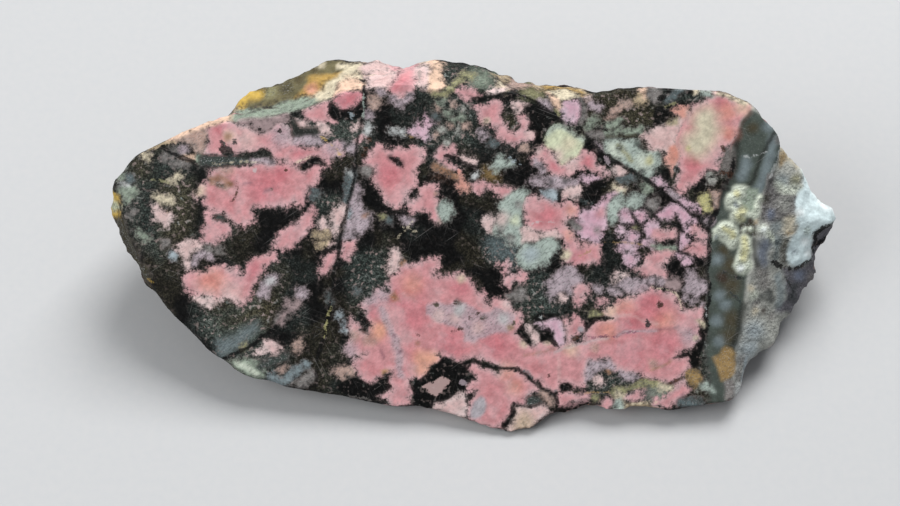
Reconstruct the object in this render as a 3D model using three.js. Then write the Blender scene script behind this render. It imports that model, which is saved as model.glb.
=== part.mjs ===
// A hand-sized lump of rough rhodonite: one sawn face, with broken and weathered rock all round it.
// It lies on its flattest natural side, so the sawn face leans back.
// Millimetres, +Z up. The origin is on the surface it lies on, under the middle of its bounding box.

import * as THREE from 'three';

// Sawn face: its frame has u to the right, v up the face and w out of it.
const LEAN_BACK = THREE.MathUtils.degToRad(56); // from upright
const FACE_HEIGHT = 19.5; // the face frame's origin above the surface that the stone lies on
const UNDERCUT = 1.2; // how deep the rock goes straight down from the cut along its lower edge

const HEART = new THREE.Vector3(0, 9, 14); // a point well inside, which sees the whole of the rough back
const MIDDLE = new THREE.Vector3(0, 3, 0); // bearings round the belly and the foot are taken from here

// Relief of the broken rock
const LUMPS = { wavelength: 18, height: 1.1, seed: 3.7 };
const KNOBS = { wavelength: 7, height: 0.6, crease: 1.6, seed: 11.3 };
const CHIPS = { wavelength: 13, height: 0.9, tilt: 0.24, seam: 0.07, seed: 2.3 };
const PITS = { wavelength: 11, depth: 1.6, from: -0.1, to: 0.6, seed: 7.9 }; // in the side that it lies on
const GROUND_FADE = 4; // height above the ground up to which the relief grows
const STRAY = 0.32; // how far the flank's points stray from even rows, as a share of their spacing
const BREAK_ROUNDING = 1.2; // softness of the corners between flat breaks

// The relief is slight on the rim, so that the cut keeps its outline, and full deep behind the cut.
const RIM_SHARE = 0.2;
const DEEP = { from: 4, to: 18, rows: 0.4 }; // rows: share of the flank's rows that it grows over
const RIGHT_END = { from: 53, to: 57, share: 0.6 }; // where the rim is wide and rough all across

// Smooth lobe at the back left, with a yellow knob on its end and a gutter between it and the rim.
const LOBE = { left: -52, right: -10, front: 14, bottom: 14, fade: 6, calm: 0.75 };
const GUTTER = { depth: 2.4, rows: 0.625 }; // rows: share of the flank's rows that it takes up
const YELLOW_KNOB = { u: -42.6, v: 26.6, w: -16, radius: 3.6, height: 1.5 };

// Mesh density
const COLUMNS = 160;
const RIM_ROWS = 5;
const FLANK_ROWS = 11;
const FOOT_ROWS = 6;
const BASE_RINGS = 5;

// Lower edge of the sawn face, left to right, as [u, v].
const LOWER_EDGE = [
  [-44.2, -20.3], [-41.8, -22.3], [-40, -23.1], [-37.6, -23.7], [-36.4, -23.6], [-34, -24.6],
  [-24.5, -26.2], [-16.5, -27.8], [-13, -28.6], [-11, -28.3], [-5.6, -29.3], [-2, -30.6],
  [3.5, -32.6], [6.5, -33.1], [9.8, -32.7], [11.5, -32], [12.3, -30.9], [14.5, -29.2],
  [18, -28], [20.9, -27.4], [22.8, -29.1], [26, -29.2], [30, -28.8], [33, -28.9],
  [35, -29.4], [37.2, -28.9], [43.8, -28.2],
];

// The rest of the sawn edge: up the right side, back over the top and down the left side.
const UPPER_EDGE = [
  [46.3, -27.2], [46.6, -24.5], [47, -20.5], [46.6, -18], [47.4, -15], [48.4, -10.8],
  [49, -8], [49.3, -5], [50, -3], [50.2, 0], [50.3, 3], [50.3, 5.5],
  [51, 8.2], [52.6, 11.5], [53.6, 14.5], [54.6, 17.3], [54.9, 19], [53.9, 20.8],
  [50.9, 23], [50, 24.5], [48.3, 25.5], [44.3, 27.2], [39, 27.9], [32, 28.2],
  [27, 27.8], [21.6, 26.7], [16, 26.2], [11, 26.3], [7, 27.4], [2, 27.7],
  [-2, 28.4], [-5, 27.6], [-9, 28.4], [-13, 29], [-17, 28.2], [-20, 27.4],
  [-23, 27], [-26, 25.7], [-30, 24.3], [-35, 22.9], [-42, 22.2], [-46, 21.9],
  [-49.5, 20.6], [-53.5, 19.1], [-57, 17.3], [-60.6, 15.5], [-61.6, 13.6], [-62.2, 12],
  [-64.2, 10.9], [-63, 9.4], [-62.2, 8], [-62.7, 6.6], [-61.4, 3.6], [-60.2, 1],
  [-59.8, -2], [-58.2, -3.4], [-58, -5], [-56.8, -7], [-54, -10.6], [-50, -14.6],
  [-46.2, -19.1],
];

// Crest of the rough rim just behind the cut, in the same order as UPPER_EDGE, as [u, v, w].
const RIM = [
  [47.7, -26.9, -1.6], [48.1, -25.2, -2.6], [48.4, -23.6, -3.2], [49.2, -21.2, -3.8],
  [51.2, -20, -4], [53.4, -18.3, -5], [55.6, -16.6, -6.2], [56.4, -14.6, -7.4],
  [57.3, -12.9, -8.4], [59.8, -10.7, -9.6], [61.9, -7.8, -10.6], [63.2, -5.6, -11.2],
  [63.5, -4.2, -11], [63.2, -2.4, -9.2], [63.2, 0, -8.8], [64.2, 1.2, -8.6],
  [65.5, 2.4, -8.6], [66.4, 3.9, -8.6], [66.1, 5.7, -8.6], [64.9, 7.2, -8.4],
  [63, 9.2, -8], [61.7, 11.4, -7.6], [60.1, 13.9, -7], [57.9, 15.2, -6],
  [56.4, 16.9, -5], [55.1, 18.1, -3], [55, 19.1, -2.2], [54, 20.7, -2],
  [51, 22.9, -1.8], [50.4, 24.8, -1.6], [48.6, 26, -1.5], [44.4, 27.8, -1.5],
  [39, 28.1, -1.5], [32, 28.3, -1.5], [27, 28.2, -1.2], [21.6, 27, -1.2],
  [18.6, 27.5, -2.2], [14.1, 28.1, -3.5], [10.6, 28.6, -4], [6, 30, -4.6],
  [1, 32.1, -5.4], [-3, 32.9, -6], [-6.8, 33.4, -6.2], [-11.1, 32.7, -6],
  [-15.1, 31.7, -5.5], [-18.4, 31, -5], [-21, 31, -4.6], [-23.2, 30.4, -4.4],
  [-25.2, 29, -4.2], [-27.8, 27.2, -4], [-32.2, 26.1, -4], [-37.2, 24.9, -3.6],
  [-42.6, 24, -3.4], [-46.8, 22.8, -2.6], [-50.2, 21.4, -2.2], [-53.6, 19.5, -1.6],
  [-57.3, 17.8, -1.4], [-61, 15.8, -1.6], [-62.4, 14.1, -2], [-64, 12.5, -2],
  [-64.7, 11, -1.8], [-64.2, 9.6, -3], [-65.5, 8.8, -4.5], [-65.9, 7.2, -5],
  [-65.3, 5.6, -4.8], [-64, 4.2, -4], [-63.6, 2.2, -3.4], [-62.3, 0, -3],
  [-60.9, -2, -2.6], [-60.2, -4.2, -2.4], [-59, -6, -2], [-57.1, -8, -1.6],
  [-54.3, -11, -1.2], [-50.3, -15, -1.2], [-46.4, -19.3, -1.2],
];

// Widest line of the rough back, anticlockwise seen from above, as [x, y, z] on the ground's own axes.
// The lobe at the back left reaches furthest from the cut.
const BELLY = [
  [46, -16, 2.6], [50, -8, 3.2], [56, 0.5, 4], [60, 7, 5], [62, 13, 5.5],
  [61, 20, 8], [56.5, 26.5, 11.5], [48, 31, 14], [36, 33, 15], [26, 32.6, 16],
  [20, 33.5, 19.5], [17.5, 34.2, 20], [12.5, 34.2, 20], [5, 34.8, 19], [-5, 36.2, 19.6],
  [-12, 37.4, 20.4], [-16.5, 39.2, 22], [-20, 38.9, 21.4], [-24, 39.5, 21.8], [-30, 39, 21.2],
  [-35, 37.2, 19.2], [-41.2, 34.8, 18.2], [-44, 29.5, 16.4], [-49, 27, 15.5], [-56, 21.5, 15],
  [-62, 15, 14], [-64.5, 9, 12.5], [-62.5, 3.5, 10.5], [-57.5, -2, 8], [-50, -7.5, 5.5],
  [-42, -13, 3.6], [-33, -17, 2.6], [-15, -21.2, 1.8], [7, -26.4, 0.6], [24, -21.4, 1.8],
  [38, -20.2, 2],
];

// Outline of the flat natural side that it lies on, anticlockwise seen from above, as [x, y].
const FOOT = [
  [36, -12.5], [41, -6.5], [38.5, 0], [41.5, 7], [36.5, 13.5], [33, 20],
  [21, 21.5], [13, 25.5], [2, 23.5], [-9, 26.5], [-19, 24.5], [-27, 26],
  [-34, 19], [-34, 11], [-38, 4], [-35, -3.5], [-35.5, -10], [-23, -16.2],
  [-12, -17.8], [-6, -20.6], [6, -25], [16, -20.6], [24, -18.6], [31, -16.8],
];

// Flat breaks that bound the rough back, as a point on each and the way that it faces.
const BREAKS = [
  { at: [59, 22, 16], faces: [0.74, 0.5, 0.45] },
  { at: [61.5, 6, 6], faces: [0.86, -0.14, -0.5] },
  { at: [43, 30.3, 17], faces: [0.3, 0.88, 0.37] },
  { at: [43, 25, 6], faces: [0.45, 0.66, -0.6] },
  { at: [12, 33.6, 18], faces: [0.2, 0.97, 0.1] },
  { at: [8, 31, 6], faces: [0.05, 0.86, -0.5] },
  { at: [-22, 40.6, 16], faces: [-0.08, 0.98, -0.18] },
  { at: [-28, 34, 6], faces: [-0.2, 0.72, -0.66] },
  { at: [-33, 35.5, 26.5], faces: [-0.18, 0.66, 0.73] },
  { at: [-34.6, 37, 22], faces: [-0.45, 0.84, 0.28] },
  { at: [-48.5, 29.5, 17], faces: [-0.66, 0.74, 0.12] },
  { at: [-60.5, 12, 9], faces: [-0.82, 0.05, -0.57] },
  { at: [-50, 22, 6], faces: [-0.55, 0.42, -0.72] },
];

// Noise

const { smoothstep, lerp, euclideanModulo } = THREE.MathUtils;
const HASH_PRIMES = [374761393, 668265263, 1274126177, 1103515245];

// An even random number from -1 to 1 that belongs to a lattice point; each turn gives another.
function randomAt(x, y, z, turn = 0) {
  const [px, py, pz, mix] = HASH_PRIMES;
  let h = Math.imul(x, px) ^ Math.imul(y, py) ^ Math.imul(z, pz) ^ Math.imul(turn + 1, mix);
  h = Math.imul(h ^ (h >>> 13), mix);
  h ^= h >>> 16;
  return ((h >>> 0) / 0xffffffff) * 2 - 1;
}

function noiseAt(point, { wavelength, seed }) {
  const p = point.clone().divideScalar(wavelength).addScalar(seed);
  const cell = p.clone().floor();
  const [a, b, c] = p.sub(cell).toArray().map((t) => smoothstep(t, 0, 1));
  const corner = (i, j, k) => randomAt(cell.x + i, cell.y + j, cell.z + k);
  const alongX = (j, k) => lerp(corner(0, j, k), corner(1, j, k), a);
  return lerp(lerp(alongX(0, 0), alongX(1, 0), b), lerp(alongX(0, 1), alongX(1, 1), b), c);
}

// Frames and outlines

function fromFace(u, v, w) {
  const [sin, cos] = [Math.sin(LEAN_BACK), Math.cos(LEAN_BACK)];
  return new THREE.Vector3(u, v * sin - w * cos, FACE_HEIGHT + v * cos + w * sin);
}

// How far behind the cut a point is.
function depthAt(point) {
  return point.y * Math.cos(LEAN_BACK) - (point.z - FACE_HEIGHT) * Math.sin(LEAN_BACK);
}

// Points at even steps along a closed line of straight stretches.
function evenSteps(points, count) {
  const stretches = points.map((from, i) => [from, points[(i + 1) % points.length]]);
  const step = stretches.reduce((sum, [from, to]) => sum + from.distanceTo(to), 0) / count;
  const found = [];
  let walked = 0;
  stretches.forEach(([from, to]) => {
    const length = from.distanceTo(to);
    while (found.length < count && found.length * step <= walked + length) {
      found.push(from.clone().lerp(to, (found.length * step - walked) / length));
    }
    walked += length;
  });
  return found;
}

const bearingOf = (point, centre) => Math.atan2(point.y - centre.y, point.x - centre.x);
const turnBetween = (from, to) => euclideanModulo(to - from + Math.PI, 2 * Math.PI) - Math.PI;

// Bearings of an outline's points from the origin, made to rise all the way, even along a notch.
function risingBearings(points) {
  const leastTurn = 1e-3;
  const origin = new THREE.Vector3();
  const found = [bearingOf(points[0], origin)];
  points.slice(1).forEach((p) => {
    const last = found[found.length - 1];
    found.push(last + Math.max(turnBetween(last, bearingOf(p, origin)), leastTurn));
  });
  return found;
}

// The points of a closed line that lie at these bearings from a centre.
function pointsAt(bearings, line, centre) {
  const own = line.map((p) => bearingOf(p, centre));
  return bearings.map((bearing) => {
    const turns = own.map((from, i) => {
      const whole = turnBetween(from, own[(i + 1) % own.length]);
      return { whole, part: turnBetween(from, bearing) };
    });
    const i = turns.findLastIndex(({ whole, part }) => whole > 0 && part >= 0 && part <= whole);
    return line[i].clone().lerp(line[(i + 1) % line.length], turns[i].part / turns[i].whole);
  });
}

// Rock surface

// Flat chips that each tilt their own way, with small ledges where they meet.
function chipsAt(point) {
  const p = point.clone().divideScalar(CHIPS.wavelength).addScalar(CHIPS.seed);
  const home = p.clone().floor();
  const sides = [-1, 0, 1];
  const stack = (i, j) => sides.map((k) => new THREE.Vector3(i, j, k).add(home));
  const cells = sides.flatMap((i) => sides.flatMap((j) => stack(i, j)));
  const chips = cells.map((cell) => {
    const [x, y, z, tiltX, tiltY, tiltZ, rise] = Array.from({ length: 7 }, (_, n) => randomAt(...cell, n));
    const centre = new THREE.Vector3(x, y, z).addScalar(1).divideScalar(2).add(cell);
    const tilt = new THREE.Vector3(tiltX, tiltY, tiltZ).multiplyScalar(CHIPS.tilt * CHIPS.wavelength);
    return { distance: centre.distanceTo(p), height: p.clone().sub(centre).dot(tilt) + rise * CHIPS.height };
  });
  const [nearest, next] = chips.sort((a, b) => a.distance - b.distance);
  const seam = smoothstep(next.distance - nearest.distance, -CHIPS.seam, CHIPS.seam);
  return lerp(next.height, nearest.height, seam);
}

// Rounded knobs with sharp creases between them.
function knobsAt(point) {
  return KNOBS.height - KNOBS.crease * Math.abs(noiseAt(point, KNOBS));
}

function reliefAt(point) {
  return noiseAt(point, LUMPS) * LUMPS.height + knobsAt(point) + chipsAt(point);
}

// One on the lobe at the back left, and nothing well away from it.
function lobeAt({ x, y }) {
  const fromLeft = smoothstep(x, LOBE.left, LOBE.left + LOBE.fade);
  const fromRight = smoothstep(-x, -LOBE.right, LOBE.fade - LOBE.right);
  return fromLeft * fromRight * smoothstep(y, LOBE.front, LOBE.front + LOBE.fade);
}

function yellowKnobAt(point) {
  const { u, v, w, radius, height } = YELLOW_KNOB;
  return height * Math.exp(-((point.distanceTo(fromFace(u, v, w)) / radius) ** 2));
}

// Draws a point in along its ray from the stone's heart until it is within every flat break.
function breakOff(point) {
  const ray = point.clone().sub(HEART);
  let reach = ray.length();
  ray.normalize();
  BREAKS.forEach(({ at, faces }) => {
    const normal = new THREE.Vector3(...faces).normalize();
    const towards = normal.dot(ray);
    if (towards <= 0) return;
    const limit = normal.dot(new THREE.Vector3(...at).sub(HEART)) / towards;
    const blend = Math.max(BREAK_ROUNDING - Math.abs(limit - reach), 0);
    reach = Math.min(limit, reach) - blend ** 2 / (4 * BREAK_ROUNDING);
  });
  return HEART.clone().addScaledVector(ray, reach);
}

const acrossRim = (row) => Math.min(row / RIM_ROWS, 1);
const downFlank = (row) => Math.max((row - RIM_ROWS) / FLANK_ROWS, 0);

// How much of the relief a point of the flank gets, by its row and its place.
function roughnessAt(point, row) {
  const atRightEnd = smoothstep(point.x, RIGHT_END.from, RIGHT_END.to) * Math.sin(Math.PI * acrossRim(row));
  const deep = smoothstep(depthAt(point), DEEP.from, DEEP.to) * Math.min(downFlank(row) / DEEP.rows, 1);
  const calm = LOBE.calm * lobeAt(point) * smoothstep(point.z, LOBE.bottom, LOBE.bottom + LOBE.fade);
  return Math.max(lerp(RIM_SHARE, 1, deep) * acrossRim(row), atRightEnd * RIGHT_END.share) * (1 - calm);
}

function gutterAt(point, row) {
  return GUTTER.depth * lobeAt(point) * Math.sin(Math.PI * Math.min(downFlank(row) / GUTTER.rows, 1));
}

// The ways across, down and out of the surface at one of its points, from its neighbours.
function frameAt(rows, row, column) {
  const reach = 2;
  const at = (step) => rows[row][(column + step + COLUMNS) % COLUMNS];
  const across = at(reach).clone().sub(at(-reach)).divideScalar(2 * reach);
  const down = rows[row + 1][column].clone().sub(rows[row - 1][column]).divideScalar(2);
  return { across, down, out: down.clone().cross(across).normalize() };
}

// The sawn edge and the foot's edge stay where they are.
function roughen(rows) {
  const broken = rows.map((points, row) => points.map((p) => {
    const share = smoothstep(row, RIM_ROWS, RIM_ROWS + 2) * smoothstep(p.z, 0, GROUND_FADE);
    return p.clone().lerp(breakOff(p), share);
  }));
  return broken.map((points, row) => points.map((p, column) => {
    if (row === 0 || row === rows.length - 1) return p;
    const fade = smoothstep(p.z, 0, GROUND_FADE);
    const relief = reliefAt(p) * roughnessAt(p, row) + yellowKnobAt(p) - gutterAt(p, row);
    const stray = row > RIM_ROWS ? STRAY * fade : 0;
    const { across, down, out } = frameAt(broken, row, column);
    return p.clone()
      .addScaledVector(out, relief * fade)
      .addScaledVector(across, randomAt(row, column, 0) * stray)
      .addScaledVector(down, randomAt(row, column, 1) * stray);
  }));
}

// Rings and rows

// Where the rows lie along a profile, whose stretches are the rim, the flank and the way in to the foot.
function rowPlaces() {
  const stretches = [RIM_ROWS, FLANK_ROWS, FOOT_ROWS];
  const within = (rows, n) => Array.from({ length: rows }, (_, i) => n + (i + 1) / rows);
  return [0, ...stretches.flatMap(within)].map((place) => place / stretches.length);
}

// Rows of points from the sawn edge, over the rim and the belly, to the edge of the foot.
function makeFlank() {
  const flat = ([x, y]) => new THREE.Vector3(x, y, 0);
  const solid = (p) => new THREE.Vector3(...p);
  const lowerRim = LOWER_EDGE.map(([u, v]) => [u, v, -UNDERCUT]);
  const edge = evenSteps([...UPPER_EDGE, ...LOWER_EDGE].map(flat), COLUMNS);
  const bearings = risingBearings(edge);
  const rim = pointsAt(bearings, [...RIM, ...lowerRim].map(solid), new THREE.Vector3());
  const belly = pointsAt(bearings, BELLY.map(solid), MIDDLE);
  const foot = pointsAt(bearings, FOOT.map(flat), MIDDLE);
  const profiles = edge.map((p, i) => {
    const through = [fromFace(...p), fromFace(...rim[i]), belly[i], foot[i]];
    return new THREE.CatmullRomCurve3(through, false, 'centripetal');
  });
  return rowPlaces().map((t) => profiles.map((profile) => profile.getPoint(t)));
}

// Rings that shrink from the foot's edge to its flat middle, with shallow pits between.
function makeUnderside(edge, middle) {
  const rings = [];
  for (let i = 1; i < BASE_RINGS; i += 1) {
    const depth = i < BASE_RINGS - 1 ? PITS.depth : 0;
    rings.push(edge.map((from) => {
      const p = from.clone().lerp(middle, i / BASE_RINGS);
      return p.setZ(depth * smoothstep(noiseAt(p, PITS), PITS.from, PITS.to));
    }));
  }
  return rings;
}

// One skin over the rings, closed by a fan at either end.
function skin(first, rings, last) {
  const points = [first, ...rings.flat(), last];
  const at = (ring, column) => 1 + ring * COLUMNS + (column % COLUMNS);
  const index = [];
  for (let column = 0; column < COLUMNS; column += 1) {
    index.push(0, at(0, column), at(0, column + 1));
    for (let ring = 0; ring + 1 < rings.length; ring += 1) {
      const [a, b] = [at(ring, column), at(ring, column + 1)];
      const [c, d] = [at(ring + 1, column), at(ring + 1, column + 1)];
      const cutAcross = points[b].distanceTo(points[c]) < points[a].distanceTo(points[d]);
      index.push(...(cutAcross ? [a, c, b, b, c, d] : [a, c, d, a, d, b]));
    }
    index.push(points.length - 1, at(rings.length - 1, column + 1), at(rings.length - 1, column));
  }
  const geometry = new THREE.BufferGeometry();
  geometry.setAttribute('position', new THREE.Float32BufferAttribute(points.flatMap((p) => [...p]), 3));
  geometry.setIndex(index);
  return geometry;
}

function makeStone() {
  const flank = roughen(makeFlank());
  const faceMiddle = fromFace(0, 0, 0);
  const footMiddle = MIDDLE.clone();
  const underside = makeUnderside(flank[flank.length - 1], footMiddle);
  const geometry = skin(faceMiddle, [...flank, ...underside], footMiddle);
  geometry.computeBoundingBox();
  const { min, max } = geometry.boundingBox;
  return geometry.translate(-(min.x + max.x) / 2, -(min.y + max.y) / 2, -min.z);
}

const rhodonite = new THREE.MeshStandardMaterial({ color: 0xb07a7c, roughness: 0.6, metalness: 0 });
const stone = new THREE.Mesh(makeStone(), rhodonite);
stone.name = 'rhodonite_stone';

const part = new THREE.Group();
part.add(stone);

export default part;
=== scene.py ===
import itertools
import math

import bmesh
import bpy
import numpy as np
from mathutils import Matrix, Vector


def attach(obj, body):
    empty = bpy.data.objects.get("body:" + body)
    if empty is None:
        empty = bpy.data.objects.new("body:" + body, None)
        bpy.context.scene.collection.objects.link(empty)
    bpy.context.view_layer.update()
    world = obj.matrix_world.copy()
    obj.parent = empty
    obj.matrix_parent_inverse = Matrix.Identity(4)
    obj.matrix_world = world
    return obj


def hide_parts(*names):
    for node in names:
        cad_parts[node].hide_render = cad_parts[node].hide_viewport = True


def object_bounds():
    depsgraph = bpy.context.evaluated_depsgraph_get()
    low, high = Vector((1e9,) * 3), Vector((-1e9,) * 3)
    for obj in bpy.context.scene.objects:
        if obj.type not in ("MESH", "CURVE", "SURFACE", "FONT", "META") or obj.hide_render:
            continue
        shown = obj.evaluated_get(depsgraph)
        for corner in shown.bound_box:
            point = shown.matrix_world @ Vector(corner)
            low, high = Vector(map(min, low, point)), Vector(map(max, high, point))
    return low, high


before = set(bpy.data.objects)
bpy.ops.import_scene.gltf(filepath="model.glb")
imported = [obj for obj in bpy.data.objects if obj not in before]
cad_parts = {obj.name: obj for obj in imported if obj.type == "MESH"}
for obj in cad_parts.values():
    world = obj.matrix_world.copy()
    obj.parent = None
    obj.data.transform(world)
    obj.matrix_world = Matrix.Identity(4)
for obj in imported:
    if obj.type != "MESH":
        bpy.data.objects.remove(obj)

cad_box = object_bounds()

# The sawn face has its own frame, in millimetres: u to the right, v up the face, w out of it.
LEAN_BACK = math.radians(56)  # of the face, from upright
FACE_MIDDLE = Vector((-0.000376, -0.005996, 0.0195))  # where u, v and w are 0, in metres
FACE_TO_WORLD = (
    Matrix.Translation(FACE_MIDDLE)
    @ Matrix.Rotation(math.pi / 2 - LEAN_BACK, 4, "X")
    @ Matrix.Scale(0.001, 4)
)

# Camera: square to the sawn face. Its lens and sensor are in millimetres.
LENS = 80
SENSOR = 36
VIEW_POINT = (-4.096, -1.247)  # the point of the face, as u and v, in the middle of the picture
VIEW_DISTANCE = 356.2  # from the face, in millimetres

# Lights and floor, in metres and watts. A light is a place, a size and a power.
KEY_LIGHT = ((0.18, 0.42, 0.62), 0.45, 6.2)
SIDE_LIGHT = ((-0.5, -0.2, 0.45), 0.5, 2.6)
LIGHT_AIM = Vector((0, 0, 0.015))  # in the stone, below its middle
FILL_COLOUR = (0.93, 0.96, 1, 1)
FILL_STRENGTH = 0.3
FLOOR_HALF = 3.0
FLOOR_GRAIN = 0.0015  # size of the paper's grain
FLOOR_COLOURS = ((0.5, 0.51, 0.52, 1), (0.54, 0.54, 0.54, 1))
FLOOR_ROUGHNESS = 0.8

# Mesh density, in millimetres. The sawn face is made twice as fine.
WELD = 1e-7  # how near two corners of the CAD solid are one point, in metres
VOXEL = 0.66
FACE_SNAP = VOXEL / 2  # how far from the face's plane a point counts as on it

# Noise: its middle value, how far a seed moves its lattice, and the numbers that scramble a cell's place
NOISE_MIDDLE = 0.5
SEED_STEP = 31.7
CELL_FACTORS = np.array([73856093, 19349663, 83492791])
SCRAMBLE_FACTOR = 1274126177
SCRAMBLE_SHIFTS = (13, 16)
LOW_BITS = 0x7FFFFFFF
CELL_VALUES = 65536
TINY = 1e-9  # stands in for a length of 0 in a division

# Relief of the broken rock: wavelength and depth of each size of roughness, in millimetres
ROCK_RELIEF = [(6.5, 0.55), (3.1, 0.4), (1.6, 0.24)]
RELIEF_SEED = 3
RELIEF_OCTAVES = 2
RELIEF_CRESTS = (0.35, 1)  # height of the ridged noise where a crest starts and where it is full
RELIEF_MIDDLE = 0.55  # crest height that leaves the surface where it is
RELIEF_STARTS = 0.3  # depth below the sawn face
RELIEF_FULL = 3.0
NORMAL_ROUNDS = 6  # how often the normals that it follows are evened out

# Crusts on the sawn face, in millimetres
CRUST_HEIGHT = 0.6
CRUST_KNOB = 0.9
CRUST_REACH = 1.5  # how far from the face's plane a point may be and still be lifted
CRUST_EDGE = (-0.1, 0.4)  # depth inside the marking where the crust starts and where it is full
CRUST_SEED = 51
CRUST_OCTAVES = 2
CRUST_KNOBS = (0.25, 0.75)  # noise between the knobs and on top of them
CRUST_LOW = 0.2  # height between the knobs, as a share of the full height
CRUST_MATT = 0.3  # share of the full height from which a crust has no polish

# Painting, in millimetres. A pair is where something starts and where it is full.
FAR = 9.0  # depth that stands for "nowhere near a marking"
MARGIN = 3.0  # how far round a marking its depth is worked out
MELT = 0.45  # half-width of the soft border between two minerals
GROW = 0.12  # how much wider every patch of mineral is laid than it was read
GROUND_COVER = 0.8  # how much of the colour under it a patch of ground hides
GROUND_FADE = (-1.8, 1.6)  # depth inside the patch
TINT_COVER = 0.75  # how much of the colour under it a stain or a tint hides
STAIN_FADE = 0.4  # half-width of a stain's border
TINT_FADE = 0.8  # half-width of a tint's border, as a share of the tint's reach
SWAY = [(2.6, 0.7, 1), (0.9, 0.35, 3)]  # wavelength, width and seed of the markings' wavy borders
SWAY_FLATTEN = 0.3  # how much a place's depth behind the face counts in the sway
WANDER = 14  # how far the markings wander on steep sides, so that they aren't drawn straight back
WANDER_SIZE = 6
WANDER_SEED = 61
WANDER_SLOPE = (0.35, 0)  # the normal's share towards the camera
WANDER_DEPTH = (-0.5, -4)  # place behind the face's plane
SEEN_SLOPE = (-0.08, 0.12)  # the same two for the markings, which give way to rock at the back
SEEN_DEPTH = (-34, -24)
POLISH_DEPTH = (-0.35, -0.05)  # only the cut is polished

# Clouds of colour on the broken rock: where, colour, wavelength, seed, and noise from none to full
ROCK_CLOUDS = [
    ("ground", "olive", 11, 5, 0.4, 0.6),
    ("ground", "umber", 8, 6, 0.42, 0.62),
    ("ground", "resin", 6, 7, 0.5, 0.7),
    ("mineral", "pink", 12, 8, 0.48, 0.62),
    ("mineral", "mauve", 5, 9, 0.46, 0.7),
    ("mineral", "rust", 9, 10, 0.5, 0.66),
    ("mineral", "sand", 7, 14, 0.58, 0.7),
]
ROCK_GRAIN = 0.6  # how grainy its minerals are

# Clouds of colour in the ground of the sawn face: the same without where, and how much they hide
GROUND_CLOUDS = [("slate", 7, 21, 0.48, 0.62), ("olive", 5, 33, 0.5, 0.64)]
GROUND_CLOUD_COVER = 0.3

# Patches, seams and pale spots of the broken rock: wavelength, seed, the noise at the border of a patch
# or along the middle of a seam, and how much depth the noise stands for
ROCK_PATCHES = (11, 11, 0.55, 15)
ROCK_SEAMS = (9, 12, 0.5, 12)
ROCK_SPOTS = (8, 13, 0.72, 5)
ROCK_OCTAVES = 4
SEAM_HALF_WIDTH = 0.5

# Noises of the stone's material: size in millimetres, and detail
FINE = (0.3, 2.0)
GRAIN = (0.7, 3.0)
COARSE = (1.6, 3.0)
CLOUD = (5.0, 4.0)
FLECK = (0.8, 3.0)
DEEP = (3.4, 3.0)
CRACK = (2.6, 2.0)
STREAK = (0.32, 2.0)
STREAK_TURN = 38  # direction, in degrees, of the dark grains in the speckled minerals
STREAK_LENGTH = 2.2  # how many times longer than wide they are

# Ramps of the stone's material. Each starts at one value and ends at another. Where four numbers are
# given, the last two are what it gives there, and otherwise it goes from 0 to 1.
ROSY_RED = (0.08, 0.26)  # red less green
ROSY_BLUE = (-0.15, -0.02)  # blue less green
OXIDE_FINE = (0.4, 0.66, 0.5, 1.9)
OXIDE_GRAIN = (0.35, 0.65, 0.5, 1.4)
OXIDE_CLOUD = (0.35, 0.65, 0.6, 1.1)
EVEN_GROUND = (0.03, 0.14, 0, 0.75)  # brighter ground is more even
EVEN_STREAKS = (0.38, 0.62, 1.2, 0.7)
FLECK_COLOURS = (0.42, 0.58)
FLECK_SHAPE = (0.55, 0.66)
FLECK_FROM_BLACK = (0.004, 0.05, 0.04, 0.85)  # brightness of the ground
FLECK_TO_GREY = (0.05, 0.16, 1, 0.2)
FLECK_CLOUD = (0.4, 0.55, 0.25, 1)
MOTTLE_COARSE = (0.3, 0.7, 0.84, 1.1)
MOTTLE_GRAIN = (0.3, 0.7, 0.92, 1.06)
PALE_CLOUD = (0.48, 0.64, 0, 0.45)
DEEP_CLOUD = (0.5, 0.66, 0, 0.4)
PALE_EDGE = (0.0, 1.5, 0.5, 0)  # depth inside the mineral, in millimetres
DARK_GRAIN = (0.5, 0.64)
WHITE_GRAIN = (0.44, 0.34)
SHAKE_GRAIN = (0.25, 0.75, -0.3, 0.3)
SHAKE_FINE = (0.25, 0.75, -0.25, 0.25)
SHAKE_COARSE = (0.25, 0.75, -0.3, 0.3)
CRACK_WIDTH = (0.0, 0.035)  # how far the noise is from its middle value
CRACK_DEPTH = (0, 1, 0.15, 0.35)  # in a grey mineral and in a pink one
BORDER_SOFTNESS = (0, 1, 0.8, 0.6)  # the same
DUST_REACH = (-1.2, -0.1, 0, 0.45)
DUST_FLECK = (0.4, 0.6, 0.25, 1)
DARK_BORDER = (-0.2, 0.15)
LIGHT_BORDER = (-0.15, 0.15)
DARK_FLECK = (0.56, 0.68, 0, 0.25)
SCRATCH_SHAPE = (0.67, 0.75)
SCRATCH_CLOUD = (0.42, 0.6)
ROUGH_GRAIN = (0.3, 0.7, 0.36, 0.52)
ROUGH_BREAK = (0, 1, 0.36, 0.0)  # added where the stone is broken, and not where it is cut
BUMP_BREAK = (0, 1, 0.9, 0.07)  # on broken rock and on the cut
BUMP_GRAINY = (0, 0.3, 0.3, 1)

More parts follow.
